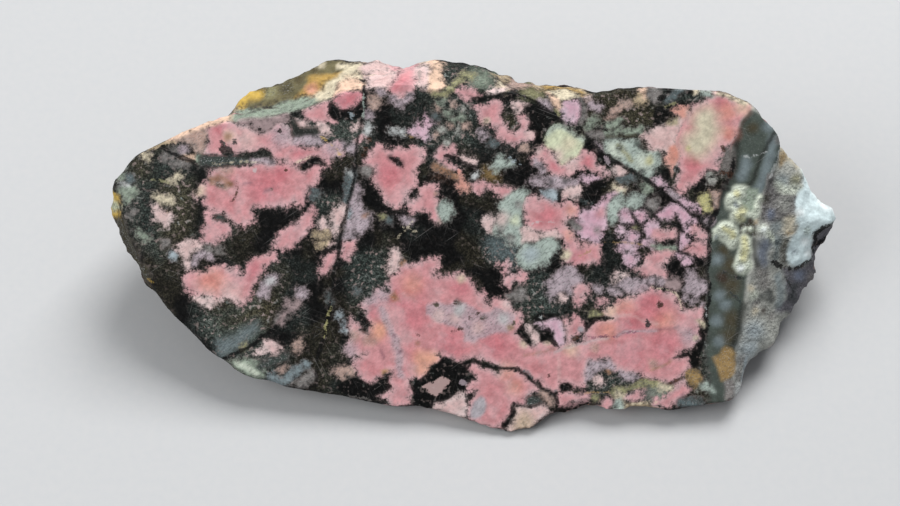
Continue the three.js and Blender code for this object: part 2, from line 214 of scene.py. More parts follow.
# Other values of the stone's material
DARK_GRAINS = (0.75, 0.04)  # share of dark grains for each part of graininess, and where there is none
WHITE_GRAINS = (0.35, 0.015)
INCLUSION_SHAKE = 0.55  # how much the borders of inclusions are shaken, as a share of the minerals'
DARK_COVER = 0.93
LIGHT_COVER = 0.6
SCRATCHES = [(35, 0.12), (-20, 0.1), (75, 0.08), (-62, 0.09)]  # direction in degrees, and strength
SCRATCH_NOISE = (0.22, 1.0)  # size in millimetres, and detail
SCRATCH_LENGTH = 40  # how many times longer than wide they are
SPECULAR = 0.12
BUMP_HEIGHT = 0.0006  # in metres
BUMP_COARSE = 1.5  # how much the coarse noise counts in the bump, beside the grain

# Colours of the stone's material, as linear light
FLECK_GREEN = (0.24, 0.27, 0.25, 1)
FLECK_ROSE = (0.36, 0.28, 0.26, 1)
SCREEN_PALE = (0.1, 0.2, 0.2, 1)
SCREEN_EDGE = (0.06, 0.22, 0.22, 1)
MULTIPLY_DEEP = (0.88, 0.64, 0.66, 1)
GRAIN_DARK = (0.07, 0.07, 0.07, 1)
GRAIN_WHITE = (0.72, 0.74, 0.74, 1)
DUST = (0.13, 0.105, 0.1, 1)
SCRATCH_PALE = (0.6, 0.58, 0.56, 1)

# Sockets of a Mix node that hold colours, by number, because other sockets have the same names
MIX_LOW = 6
MIX_HIGH = 7
MIX_RESULT = 2

# Colours of the markings, as red, green and blue from 0 to 255
PALETTE = {
    "rose": (200, 120, 128), "pink": (205, 145, 148), "blush": (214, 182, 178),
    "peach": (226, 192, 168), "salmon": (212, 146, 130), "lilac": (178, 162, 169),
    "orchid": (205, 162, 178), "dusty": (178, 148, 136), "chalk": (190, 193, 192),
    "cream": (212, 200, 174), "mint": (168, 181, 172), "celadon": (206, 211, 180),
    "greygreen": (146, 158, 142), "moss": (152, 149, 112), "tan": (155, 128, 85),
    "sand": (190, 170, 140), "ochre": (176, 144, 82), "yellow": (198, 166, 84),
    "slate": (58, 66, 62), "steel": (92, 104, 106), "ice": (162, 174, 180),
    "grey": (130, 125, 122), "olive": (64, 60, 46), "brown": (150, 105, 75),
    "plum": (110, 70, 85), "umber": (60, 40, 30), "charcoal": (45, 50, 50),
    "black": (9, 9, 9), "smoke": (74, 82, 76), "haze": (124, 136, 140),
    "resin": (72, 62, 42), "ash": (120, 117, 116), "milk": (216, 232, 234),
    "snow": (240, 246, 246), "pearl": (167, 168, 161), "denim": (118, 128, 148),
    "basalt": (104, 102, 108), "shade": (38, 40, 37), "straw": (192, 186, 132),
    "foam": (206, 213, 196), "drab": (108, 101, 74), "apricot": (220, 162, 134),
    "mauve": (158, 138, 138), "rust": (138, 98, 66),
}

# How strongly a mineral is sprinkled with dark and white grains, from 0 to 1, where it isn't slight
GRAINY = {
    "lilac": 0.6, "orchid": 0.12, "chalk": 0.25, "cream": 0.15, "mint": 0.5, "celadon": 0.12,
    "greygreen": 0.5, "moss": 0.5, "tan": 0.4, "sand": 0.4, "slate": 0.9, "steel": 0.7, "ice": 0.3,
    "grey": 0.6, "olive": 0.8, "brown": 0.4, "dusty": 0.4, "blush": 0.15, "ash": 0.4, "resin": 0.1,
    "milk": 0.0, "snow": 0.0, "pearl": 0.25, "denim": 0.12, "basalt": 0.3, "shade": 0.05,
    "straw": 0.3, "foam": 0.35,
}
SLIGHT_GRAIN = 0.08
LAYERS = ("ground", "mineral", "stain", "tint", "dark", "light")

# Markings, read off the face. Each starts with its layer and colour. Then come its points, as
# u,v: they go round a patch or, after a half-width, along a stroke. After "spots" comes a radius, and
# each point is a round spot.
UPPER_LEFT = """
ground slate -62,14 -52,17 -50,12 -52,4 -56,-2 -61,2 -63,9
ground olive -56,11 -50,12 -50,3 -52,-2 -56,0
mineral pink -48,16.4 -47.5,18.5 -48,20 -47.5,21 -49,21.3 -46.5,22 -44,22.2 -42.5,22 -42,21.5 -40.5,21.5
 -39,20.6 -37,20.2 -35.5,21 -35,21.8 -33,21.5 -32.4,20.8 -32,18.5 -31,18 -33,15.2 -35.7,14.8 -35.5,15.5
 -36,17 -37.5,17.4 -38.5,16.8 -44,16.9 -45,16.3
tint rose spots 1.5 -45,21.5 tint blush spots 2 -40.5,19 tint peach spots 1 -43.5,19.5
tint lilac spots 2 -34,19.5
mineral dusty -53,19.3 -50,20.8 -47.8,21.3 -47.5,20 -48,16.6 -49,16.6 -49.8,17.6 -51.2,18.6
mineral peach 0.6 -53.5,19.2 -50,20.9 -47,22 -42.3,23.2
mineral greygreen 0.9 -42,23 -39,23.3 -36,24 -33,25 -30,25.4 -26.5,26.7
mineral mauve -42,22.4 -33.5,23.4 -33,22.2 -35,21.9 -35.5,21.1 -37,20.3 -39,20.7 -40.5,21.6 -42,21.6
dark black spots 0.4 -39.5,21.8 -38,21 -34.5,20.3
mineral lilac -52.3,17.2 -51,17.6 -50.8,16.6 -52,16.3
mineral peach -51.5,16.2 -49.5,16.3 -49.3,15.4 -50.5,15.2 -52,15.8
mineral greygreen -49,16.2 -48.3,16.2 -48.8,14.8 -49.4,15.1
mineral grey -53.5,15 -52,15.4 -50.5,14.5 -50.6,14 -53.5,14.5
mineral grey spots 0.6 -54.8,15.8 -53.3,16.8 -61,5.8 -55,0.5
mineral cream spots 0.5 -58.2,15.8
light sand 0.25 -57.6,17.1 -56,17.5 -54.5,18.3 -53.3,18.5
ground olive -60.5,15.2 -59,15.6 -58,14.8 -57.5,13 -58,12 -60,12.2 -61,13.5
mineral steel spots 0.7 -61,12
mineral cream -54,12 -52.2,12.9 -51.8,12.5 -53.2,11.6 -54.2,11.5
light moss 0.2 -57.3,11.8 -54,11.4
mineral greygreen -63.5,12.3 -62.3,12.8 -62.2,12 -63.3,11.8
mineral chalk 0.4 -62.5,10.7 -61.2,10.5
mineral greygreen 0.7 -62.5,9.8 -60.5,9.7 -61.5,8.8
mineral yellow spots 0.9 -63.9,8.3 -63.7,5.4
mineral celadon spots 0.8 -64,7
mineral olive 0.8 -63.3,4 -62,1 -60.5,-1.5 -59.5,-4 -58.5,-5.5
mineral greygreen 0.4 -59.6,2.2 -58.4,1.5
mineral cream 0.4 -56.5,8.7 -53.8,8
mineral ice spots 0.6 -53.5,-1.6
light yellow 0.2 -57.8,-6 -56.8,-6.6
mineral blush -57.2,7.2 -56.2,7.4 -55.5,6.5 -54.8,6 -53.8,5.8 -53.5,4.9 -54,4.4 -54.4,3.4 -55,3.5
 -55.6,4.3 -56.8,4.6 -56.6,5.8
stain brown spots 0.4 -54.3,6.3
mineral pink -49.9,8.2 -48.6,10.4 -47,12.2 -46.8,13.4 -45.8,14.1 -43,14.4 -41,14 -39.5,14.2 -38,14.8
 -36,14.2 -34,14.8 -32.3,14.7 -30.3,13.5 -28.2,14.5 -27.2,14.3 -26.5,13.8 -27.3,13 -28.3,11 -29.3,10.3
 -29,9.8 -29.6,9 -29.8,8 -30.3,7.2 -31,7 -32,8 -33.2,7 -36,7.3 -37.5,7.2 -38.8,6.8 -39.3,6 -38.9,5.5
 -38.7,4.5 -40.8,3.4 -42,3.5 -44.5,5.7 -47,6.6 -48,7.5 -48,9
tint cream spots 1.2 -49,9.8 tint dusty spots 1.5 -44,13.8 tint rose spots 3 -37,10
tint rose spots 1.5 -34,13
dark umber 0.18 -42.3,11.2 -42,10 -42.5,8.6 -43,8
stain rust spots 0.5 -46.6,11.3 -44,10.7 stain olive spots 0.45 -45.6,11.6 -43.2,11
stain dusty -47,12 -43,10.7 -44,10.1 -45.5,10.2 -46.6,10.9
stain plum 0.15 -37,9.7 -35.6,10.3 stain plum 0.1 -41,10.8 -39.5,10.9
mineral slate 0.35 -45.8,4.4 -45,5.1 -44.3,5
mineral pink -47.7,6 -46.8,5.9 -46.2,5.2 -46.1,4.5 -44,4 -43.3,3 -43.4,2.2 -45.5,1 -46,0.4 -48.3,0.2
 -47.8,2 -48,3 -47.5,4
mineral blush -51,1 -50.2,1 -49.3,0.4 -48.3,0.1 -48.1,-0.3 -49,-0.9 -50,-1.2 -50.8,-3 -50.7,-3.6
 -51.3,-3.7 -51.8,-1.5 -53.2,-0.7
mineral lilac 0.45 -49.8,-2.8 -48.2,-1.6 -47.2,-1.4 -46.5,-2
mineral grey spots 0.6 -45.3,-0.6 -47,-0.5
mineral pink -51.7,-5.5 -50.6,-4 -48.5,-4.9 -44,-3.2 -43.6,-4.1 -41.9,-3.7 -41.6,-4.6 -40.9,-5.2 -40.4,-5
 -40.2,-3.2 -39.2,-2 -38.2,-2.1 -35.3,-1 -34.7,-1.7 -35,-2.4 -36.2,-2.7 -37.2,-3.8 -37.1,-4.6 -38,-5.2
 -39.5,-8.7 -41.2,-10.5 -43.3,-9.5 -44.6,-9.2 -46,-9.3 -47.3,-8.9 -48.5,-8.9 -49.8,-8.4 -50.8,-7.9
 -51.5,-7.2
tint salmon spots 2.5 -46.5,-6.5 tint rose spots 1.5 -39.5,-4.5 tint blush spots 2 -43,-9
mineral blush -49.8,-9.1 -48.7,-10.4 -47.6,-10.8 -47,-11.3 -46.2,-10.6 -44.3,-9.6 -47,-9.2
mineral lilac -38.2,-8.8 -36.5,-5.5 -35.2,-5.3 -35,-6.3 -36,-7 -37,-9.2 -38,-9.3
tint chalk spots 0.8 -36,-6.4
mineral pink -35.6,0 -34.4,2 -33.4,2.9 -32.6,3.3 -29.5,6 -28,6.8 -27.8,5.2 -28.4,4.5 -28.5,3.6 -31,0.6
 -34,-0.7 -35.3,-0.6
dark black 0.3 -56,17.6 -49.2,14.6
dark shade -45.6,17.4 -44.7,18.4 -43.6,17.9 -42.8,16.9 -43.4,16.1 -44.6,16.3
dark shade -42.4,16.3 -41,16.8 -39.6,16.5 -38,17.2 -36.7,17.2 -35.9,16.3 -36.6,15.6 -40.2,15.6
dark charcoal 0.3 -44.8,18.5 -43.8,17.8 -43.3,16.8 -43.6,16 dark charcoal spots 0.35 -42.5,18.4
tint rust 0.5 -46.9,11.9 -45.4,12.2 -44,11.7 -43,10.9 tint olive 0.35 -45.9,10.8 -44.4,10.6
tint rust spots 0.6 -43.6,19.3 dark umber spots 0.25 -33.3,13.4 dark umber spots 0.35 -30.8,13.8
dark olive spots 0.25 -35.7,10.2 light chalk spots 0.4 -38.8,13.3
mineral slate -48.6,15.9 -46,16.2 -40,15.8 -39.6,14.9 -42,14.5 -46.8,14.2 -48.4,14.6
mineral lilac 0.5 -39.2,15.2 -37.5,15.1 -36,14.7
light cream 0.1 -46.4,14.6 -43,15 light cream 0.08 -41.4,15.1 -38,14.7 light cream 0.1 -31.5,15 -29.2,16
"""

LOWER_LEFT = """
ground olive -48,-9 -42,-8.5 -36,-7 -35,-12 -38,-16 -45,-16.5
ground smoke -48,-14 -43,-14.4 -38,-13.4 -37,-16 -39,-20 -45,-20
ground slate -39,-19 -33,-18 -33,-24 -39,-24
ground smoke -47.5,-12.8 -43,-11.3 -39,-9.4 -38.6,-10.4 -43,-12.6 -47,-14
ground haze -45.6,-17.4 -42,-16 -38.6,-14 -38.4,-14.8 -41.5,-17.2 -44.6,-19.2
dark black 0.35 -44,-19.8 -39,-17.7 -35,-14.4
dark black 0.25 -36.3,-16.2 -33.8,-17.5
mineral moss spots 0.4 -40.7,-18
mineral blush -38.8,-19.3 -37.5,-18.2 -36.8,-17.3 -36,-16.8 -34.2,-18 -34.8,-18.8
mineral greygreen -43.3,-20.6 -40.3,-20.1 -39,-20.3 -37.3,-21.8 -37.2,-22.7 -38,-23.5 -40,-23.2
 -41.5,-22.3
tint foam 0.5 -41.8,-20.9 -40,-21.6 -38.6,-22.8
mineral slate 0.5 -38,-21.5 -35.5,-20.2 -33.8,-19.8 mineral dusty spots 0.6 -34,-22
mineral haze 0.5 -36,-23.3 -34,-24.2 -32,-23
mineral haze 0.4 -33.5,-23.8 -32,-22.3 -30.5,-21.5 -29.5,-21.3
mineral grey 0.3 -35,-13.3 -33.5,-12.5 mineral mauve 0.4 -34.4,-13.6 -33.4,-12.2 -31,-10
mineral mauve spots 0.5 -33,-10.3
mineral dusty -32.2,-17.6 -30.6,-16.4 -30.3,-17.3 -30.3,-18.4 -31.2,-19.1 -31.9,-18.6
mineral grey 0.7 -31,-24.5 -29,-23
mineral dusty -25,-22 -23.8,-21.6 -22,-21.5 -21,-22 -21.3,-23 -22.4,-22.8 -23,-23.6 -23.9,-22.7
mineral ice spots 0.3 -24,-12.4 -23.2,-13.6 -22.8,-15.2 mineral lilac spots 0.9 -30.5,-8.5
"""

MAIN_CRACK = """
dark black 0.2 -19.3,28.5 -19.1,26 -19.8,24 -19.8,22.5 -20.5,20 -20.9,17 -21,14 -21.6,10 -23.2,4
 -26.5,-16.5 -27.7,-20.5 -28.1,-25.5
light straw 0.2 -25.4,-11 -25.8,-12.2 light straw 0.15 -26,-13.4 -26.3,-14.6 -26.3,-16
light mint 0.1 -19.4,27 -19.7,23
"""

CENTRE_LEFT = """
ground slate -22,-1 -15.5,-1 -15.5,-10 -22,-10
ground slate -28,5 -24,5 -24,9 -28,9
mineral blush -25.1,4.5 -25,5.8 -24.3,6.8 -23.6,7.5 -22.8,7.4 -22.7,6 -23.1,4.6 -24,2.5 -24.8,1.9
 -25.1,2.6
mineral pink -23.6,-1.9 -23.2,0.2 -22.6,1 -20.9,1 -20.9,0.4 -21.7,-1.4 -22.3,-2 -23,-2.2
mineral lilac -22.9,1.2 -22.2,2.8 -22.7,3.5 -22.3,4.4 -21.5,4.3 -20.8,1.2
mineral pink -27.2,-4.8 -27,-3.6 -26.2,-1.6 -25.4,-1 -24.5,-0.9 -24.4,-1.8 -25,-3.9 -25.6,-4.6 -26.4,-5.1
 -27,-5.3
mineral blush -27,4.4 -26.4,4.8 -25.9,4.3 -25.7,3.5 -26.2,2.7 -26.8,2.9
mineral sand 0.5 -28,1.9 -27,1.6 -26,2.4 mineral sand 0.4 -27.3,0.2 -26.2,0.4
mineral blush -25.8,0.5 -25.2,0.5 -26,-0.3
mineral lilac -22,8.4 -21.2,9 -20.6,10.9 -20.1,10.3 -20.3,8.3 -20,6 -19.4,6.2 -18.6,6 -18.3,5 -18.6,4.2
 -18.5,3.4 -19.8,2.2 -21,2.7 -21.5,3.5 -21.5,5 -22.2,7.2
stain brown spots 0.45 -19.3,5.2 -18.8,5.5
mineral ice -22.4,4.9 -22.3,6 -21.9,6.6 -21.6,5.9 -22,5.1
mineral steel 0.5 -22.6,8 -21.6,13 mineral chalk -22.3,13.4 -21.4,13.3 -21.6,12.3
mineral blush -15,-1.8 -14.6,-0.8 -13.8,-0.4 -13.1,-0.6 -13.3,-1.5 -12.9,-2.3 -13,-3.2 -13.8,-4.8 -14.8,-5
mineral brown spots 0.5 -12.5,-3.2
mineral pink -11.9,7.3 -11.4,7.8 -10.6,8 -9.4,9.2 -9.6,10.2 -8.8,10.4 -8.2,10.9 -7.3,11.1 -6.5,10.8
 -6.1,9.2 -6.4,8.5 -6,7 -6.2,6.2 -5.6,4.5 -6.3,4.2 -7,4.6 -7.6,5.2 -7.4,6 -9,6.6 -11,6 -11.4,6.7 -12,7
mineral mint -6.5,7 -6,7.8 -5,7.9 -4,7.5 -3.5,6.5 -3.8,5.4 -4.6,4.6 -5.5,4.5 -6,5.3
stain brown spots 0.4 -6.5,9.5 -10,9.8 -8.5,4.6 -6.2,4.3 -10,4.5
mineral lilac -13,5 -12,5.1 -10.8,4.8 -11,4.2 -12,3.8 -12.7,4.3
mineral steel spots 0.4 -15.3,4.5 mineral moss spots 0.25 -16,5.1
light cream 0.08 -12.8,3.4 -11.8,3.5 -10.9,4.6 light cream 0.08 -13.7,1.3 -12,3.3 -9.8,2.2
mineral steel 0.25 -28.8,10 -27.8,9.6 mineral steel 0.25 -28.6,8.6 -27.7,9.2
mineral steel spots 0.4 -20.5,-8 mineral steel 0.25 -26,-8.8 -25.3,-10
mineral salmon -2.9,12.8 -2.3,13.2 -1.8,12 -0.4,10.4 -1,10 -2,10 -2.9,10.4
"""

# Along the top edge of the cut, the rim strokes in the first three lines, and the pale blush and peach
# patches under it from u -10 to -5, are lighter partly for their own colour and partly as painted
# highlight, where the rounded edge catches the light from above.
UPPER_MIDDLE = """
mineral cream 1 -26,27.2 -24.5,29.4 -22.5,31 -20,31.2 mineral blush 1 -19,31.3 -14.5,32.6
mineral pink 0.9 -13.8,32.4 -11,33.2 mineral cream 0.8 -10,33.4 -8,33.6
mineral peach 0.8 -7.6,33.2 -5.8,33.2 mineral sand 0.5 4,30.6 7,30.2 13,28.8 17,28.6 20,27.6
mineral drab -42,24.6 -41,27 -38,28.4 -34,29.5 -31.5,31.4 -28,33.2 -24,33.2 -22,31.8 -24,30 -29,27.4
 -32,26.3 -39,24.8
tint moss spots 1 -36,27.4 tint olive spots 1 -33.4,28.4 -37.6,28 tint resin spots 0.8 -28.4,31.6 -31,30
mineral yellow 0.8 -41.3,25 -40.3,26.9 -38.2,26.9
mineral ochre -31.8,26.6 -30.5,27.3 -29.5,28.3 -29,29.7 -29.5,30.4 -23.2,30.4 -24.5,29.3 -26,29.2 -27,27.5
 -28.5,27
tint salmon spots 1 -28.5,28 mineral cream spots 0.6 -27,32.3
mineral cream 0.4 -23.7,32 -22.3,31.6
mineral cream 0.4 -25.5,27.5 -24.5,29 -22.5,30.3 -20.5,30.3
mineral peach -25,26.5 -24,28.5 -22.5,29.9 -20.5,30 -19.5,29 -19.8,27.8 -22,27.7
mineral cream spots 1 -27,26.7
mineral blush -19,28 -18.5,31 -14.5,31.8 -13.8,30.5 -14.5,29.5 -15,28.2 -17,28.3
mineral blush -10.3,28.8 -10.2,32.6 -8,32.8 -7.6,31 -8,28.6 -9.3,28.2 light grey 0.35 -9.5,29.5 -9.4,31
mineral peach -7.9,28.2 -7.9,29.5 -7,32.6 -5.9,32.4 -5.6,29.6 -5.3,28.8 -5.6,28.2 -7.2,27.4
mineral rose -24.8,25.7 -24.3,26.8 -23,27.3 -21.5,27.5 -20.3,27.4 -19.8,26.8 -20.8,25.2 -21.5,24.6
 -22.5,24.5 -23.5,24.7 -24.4,25.2
mineral pink -30.3,23.4 -29.5,24.2 -26.3,25.6 -25.7,25.6 -25.8,23.5 -24.3,22.3 -27.5,21.9 -28.5,22
 -30,22.7
dark black -25.7,25.6 -24,24.3 -22.5,24.3 -21.5,24.4 -20.6,25 -19.8,25.9 -19.7,24 -20,22.8 -21.5,22.4
 -25,22.8 -25.8,23.8
light ice -22.1,23.8 -21.5,24 -21.2,23 -21.7,22.6
ground smoke -26,18 -18,18 -18,22.5 -26,22.5 ground smoke -32,19 -27,19 -27,22 -32,22
mineral blush 0.4 -31,21.8 -29.5,21 mineral blush 0.5 -27.5,21.5 -26,20.5
mineral blush 0.25 -21.5,20.7 -20,21.5
mineral chalk -19.8,20.3 -19,21.8 -18.3,22.1 -18,21 -18.5,20.2 -19.3,19.9
mineral lilac spots 0.75 -18.6,23.4 -21.7,17.5 -24,18 mineral pink 0.35 -20.5,18.8 -19.7,19.6
mineral shade -32.3,21.8 -31.3,21.8 -30.5,20.8 -29,20.8 -28,20.5 -28.3,19.8 -31.8,19.3 -32.3,20.3
mineral lilac -32,19.3 -27.5,19.6 -27,18.3 -29,18 -32,18.2
mineral pink -34,15.5 -34,17.3 -29.5,17.8 -28,17.5 -26.5,17.8 -24,18.8 -23.3,16.3 -24.9,15.3 -25.1,14.5
 -25.5,14.2 -26.2,14.5 -27.3,16 -28.5,16.2 -31.5,14.9 -33,14.9
tint rose spots 1.3 -31,16.9 tint lilac spots 1.6 -25,17.3
dark black -31,14 -29.3,15.6 -28.4,15.9 -27.5,15.5 -26,14.3 -27,14.2 -28.2,14.4 -29.8,13.6 -30.5,13.5
light yellow 0.1 -27.3,19.7 -25,18 -24.2,17.2 -23.6,16.2
mineral pink -17.7,13 -17.7,14 -19.5,14.3 -19.8,15.3 -19,15.5 -17.2,17.8 -16.5,17.8 -15,17 -14.3,17.2
 -14,17.8 -13.2,17.8 -12.6,17.2 -11.5,17.4 -10.7,17.8 -9.5,17.8 -8.8,17.3 -8.7,16.3 -9,15.3 -9.6,14.6
 -10.2,13 -10.2,10.8 -10.6,10.2 -12,9 -11.7,8.6 -12.5,7.3 -13.2,7.1 -14.2,7.2 -15,6.9 -17.9,12
tint rose spots 2 -15,13
stain charcoal spots 0.6 -14.9,15.9 -13.8,15.4 -12.9,14.7
dark black -15.2,16 -13.2,15.8 -12.2,14 -14.8,15 -15.2,15.6
mineral grey spots 0.9 -19,13.5 dark umber spots 0.45 -19.3,17.2 -19.5,16 -18.5,19
mineral chalk 0.4 -14.5,20.5 -12.5,20.3 light tan 0.12 -12,20 -10.6,19.3
mineral orchid -11.4,20.5 -10.7,21 -10.3,21.7 -9.5,22 -9,21.4 -8.9,20.9 -8.5,21.6 -8.7,22.2 -8.3,23.2
 -7.6,22.1 -7.1,21.7 -8,20.6 -7.8,19.4 -8.4,19.1 -9.7,20
mineral steel -7.5,23 -6.7,23.6 -6.1,22.8 -6.8,22.4
mineral greygreen spots 0.5 -4.4,23.5 -3.7,22.2 -1.9,23 -5.8,25.7
mineral pink -14.9,28 -13.5,31.5 -12,32.2 -10.5,32.5 -10.2,31 -10.3,28.8 -11.2,27.6 -12.5,26.6 -13.3,26.7
tint rose spots 1 -14,28.3 -12.3,29
mineral dusty -18.7,26 -18.2,26.9 -17,27 -16.5,26.3 -16.8,25.3 -17.5,24.6 -18.4,24.8
mineral lilac spots 0.6 -16.5,27.5 -13,25.3 -14.5,26.5 mineral lilac 0.3 -12,26 -11.2,26.8
ground slate -5.5,28.5 -1,28.5 -1,32.3 -5.5,32.3
mineral moss 0.35 -7,27.3 -5,27.3 -3.8,28 -3,29 -1.5,30.2 0,30.3
mineral pink -2.8,27.8 -2,28.2 -1,28.2 0.3,27.8 1,26.9 0,26.2 -1,26.2 -2.6,27
ground slate -10,27 -7,27 -7,29 -10,29 ground slate -8,23 0,23 0,27 -8,27
ground slate -8,18.5 0,18.5 0,22 -8,22
mineral pink -7.2,15.8 -6.3,17.1 -5.4,17.6 -4.4,17.3 -3.4,17.9 -2.9,17 -3,16.2 -4.5,16.2 -4.9,15.6
 -3.6,14.4 -2.2,13.5 -3,13.4 -5.8,14.5
mineral pearl spots 0.3 -4.5,18.3 -2.6,20.6 -5.6,20.4 -1.5,24.6
mineral dusty spots 0.35 -6.4,24.6 -3.4,25.4 -1.2,21.4 -4.2,21.3 -6.6,19.6
mineral blush -2.3,15.9 -1.5,16.2 0.3,15.3 0,14.4 -1,14.9 -1.8,15
dark black 0.3 -5,16 -4,16.1 0,14.2
mineral brown 0.5 -6.8,14.3 -3.8,13 -3,12.2 ground umber -7,12 -4,12 -4,13.5 -7,13.5
light salmon spots 0.35 -2.4,13.3
"""

TOP_MIDDLE = """
ground olive 20,22 28,22 28,26.5 20,27.5 ground olive 28.5,21.5 33,21.5 33,25.5 28.5,25.5
mineral pink 0.3,24.9 2.4,25.5 3.2,26.1 4.2,26 5,25.6 5.2,24.7 5,23 6.4,20.3 7.3,20.2 8,20.6 8,21.5 8.3,22
 8.1,22.8 8.6,23.4 9.4,23 9.8,22 9.2,20.6 10.6,20.2 11,19.6 10.4,18.9 8.5,18.4 7.8,18 6.8,18 5.8,18.4 5,19
 4.5,19.7 4.3,20.5 3.3,21.8 1.6,22.4 0.9,24.2
tint cream spots 0.6 2.5,22.3 tint blush spots 1 10,19.8
ground olive 5,24 8,23 8,20.5 6.5,20.5 5,22
mineral blush 6.8,24.8 7.3,25.5 8.3,25.7 9,25 9.2,24.3 8.3,24 7.6,24.2
dark black 0.28 0,26.3 2,26.3 6,27.3 8,27 11,25.6 14,23.7 16.2,22
dark black 9,24.5 10.5,25.2 13.5,23.8 15.6,22.2 14.5,21.8 13.6,21 12.6,18.8 12,18 11,17.5 10.5,18.2
 11,19.3 11,20.2 10,21 10,22.3
light grey spots 0.4 12.8,20.8
mineral orchid 16,22.8 16.8,21.9 18,22.5 18.8,23.2 18.9,24.8 18.3,25.6 16.5,25.8 15.9,24.8
mineral lilac 11.8,25.8 12.8,26.2 13.8,25.4 14.2,24.6 13.2,24.2 12.3,24.9
mineral peach 13.2,27.3 15.5,26 16,24.8 15,24.6 13.5,26.3
mineral grey 19.1,25.9 19.8,25.7 19.7,22.5 19,22.2
mineral cream 13.3,27.6 15,28 16.8,27.9 18.8,26.8 17.2,26.2 15.8,26.1
light moss 0.2 14.5,24.4 15.5,23.5 mineral lilac 0.5 20.9,25.2 22.5,24.6
mineral blush spots 0.4 20.4,26
mineral dusty 24.2,22.8 24.8,24 26.3,25.6 27.4,25.8 28.2,25.3 27,24.8 25,22.7
mineral sand 28.7,25.6 29.5,26.6 30.5,27 31,26 30,25.2 mineral peach 0.3 30.3,27.5 30.6,26.5
mineral grey spots 0.7 31.5,27 mineral greygreen 0.4 24.5,21.5 26,22.5
mineral greygreen 0.25 24,20 26,20.8 28,20.3 30,20.5
mineral celadon 15.2,21.8 16,22 17.5,20.3 18.5,19.7 19.8,19.8 19.8,18.8 19,17.3 18.8,16.3 16.5,14.4
 15.6,14.2 14.4,17 13.3,17.3 12.9,18.3 13,19.3 14.2,21.1
mineral pink 12.9,17.5 14.4,16.9 15.2,14.9 15.8,14.2 16.6,14.4 18.1,15.6 18.9,16.3 19.3,17 21.2,16.8
 21.7,15.2 22.4,14.4 24.2,13.1 23.6,12.6 20.6,13.5 19.6,14 18.4,14 18,13.3 17,12.6 15,12.3 14.2,12.4
 13.1,13.8 12.9,15.4 12.2,15.8 10.7,15 10.4,15.6 11,16.3 11.2,17.4 12,17.6
tint mint 0.7 13.5,20 14.6,21.2 16,21.6 19.6,19.2 tint cream spots 1.2 17,18.3
tint blush spots 1.2 15.2,16.2 17.5,14.6 tint rose spots 1 14.3,14 20.5,15 tint blush spots 1 11.5,17
mineral dusty 8.3,18 9.3,18 10,17 9.4,16.6 8.6,17 mineral lilac 0.4 11,15.3 12,14.3 12.3,13.5
mineral mint 3.1,14 3.5,14.8 5,16 5.6,15.9 5.5,15.1 6.2,14.9 7,15.1 7.3,14.5 5,13.9 4.5,13.3 3.8,13.4
light ice spots 0.25 6.8,15.7 7.6,15.3 8.3,14.8 7.2,14.9
mineral lilac 1,20.8 2,20.8 2.4,20 2.1,19.4 1.4,19.8 mineral steel 3.3,19 4.4,18.5 3.8,17.5 2.8,18
ground tan 2,12 4,12 4,13.5 2,13.5 mineral chalk spots 0.4 0.3,12.5
mineral mint 23.5,18.2 24.2,19 25.2,19.3 27.5,18.7 28.6,18.9 29.3,18.3 29.5,17.5 30.2,16.8 31.2,16.5
 32.9,16.9 33,15 31.5,12.3 30.8,12.1 26,15.4 24,16.4 23.4,17.2
tint foam spots 1.5 25.5,17 30.5,15 tint moss 0.4 25.8,17.8 28.3,15.2 tint slate spots 0.6 26,17.3
tint slate 0.5 29.2,18.2 30.3,17.4 tint straw spots 0.7 31.5,15.3 tint slate spots 0.7 30.2,13.2
light olive 0.25 24,19.6 29,19.6
ground olive 29,16.8 31,16.8 31,19 29,19
dark black 0.3 20,20 21,18.6 23.3,16.4 31,11.7
dark black 0.22 31,11.7 34.6,9 35.5,8 36.3,7.9 38.5,6.2 42.3,2.3
dark black 20,19.6 23.2,16.7 25.5,15.1 23,14.6 22.3,15 21.3,16.9 19.6,17.3
mineral lilac 21.8,18.2 22.6,18 23,17.2 22.9,16.8 22.3,17.3 light lilac 0.25 23.5,16 24.2,14.5
mineral blush 24.6,13.6 25.2,14.3 26.2,14.6 26.9,13.9 27.3,13 26.9,12.4 26,12.5 25,12.9
mineral grey 0.3 20.5,20 23,19.5 mineral greygreen 0.6 20.5,21.4 21.6,22.4
mineral orchid 18.6,11.6 19.3,12.6 20.4,12.3 21.5,12.7 22.2,12.1 21.5,11.6 20,11.4
mineral lilac 10,11.8 11,12.3 13,11.8 12.4,11 10.8,11
mineral steel 25.5,12 28.6,12.4 29,11.8 27.5,11.2 26,11.3
mineral blush 30.2,19.4 33,21.6 36,22.5 37,22.5 36.2,19.5 36.2,18 35,17.5 34,16.5 33,17 31.9,16.9
 31.3,17.5 31.2,18.3
ground greygreen 0,28.5 3,28.5 3,31 0,31
mineral dusty 6,28.5 8,28.3 10,28.5 9.5,30 7,30 mineral cream 0.5 4.5,28.3 5.5,27.8
mineral blush 2.5,27.3 4,28.3 6,28.2 5.5,27.4 ground moss 9,26.5 12,26.5 12,28 9,28
mineral ochre 0.3 12.5,28.6 17,28.6 19.5,27.3
"""
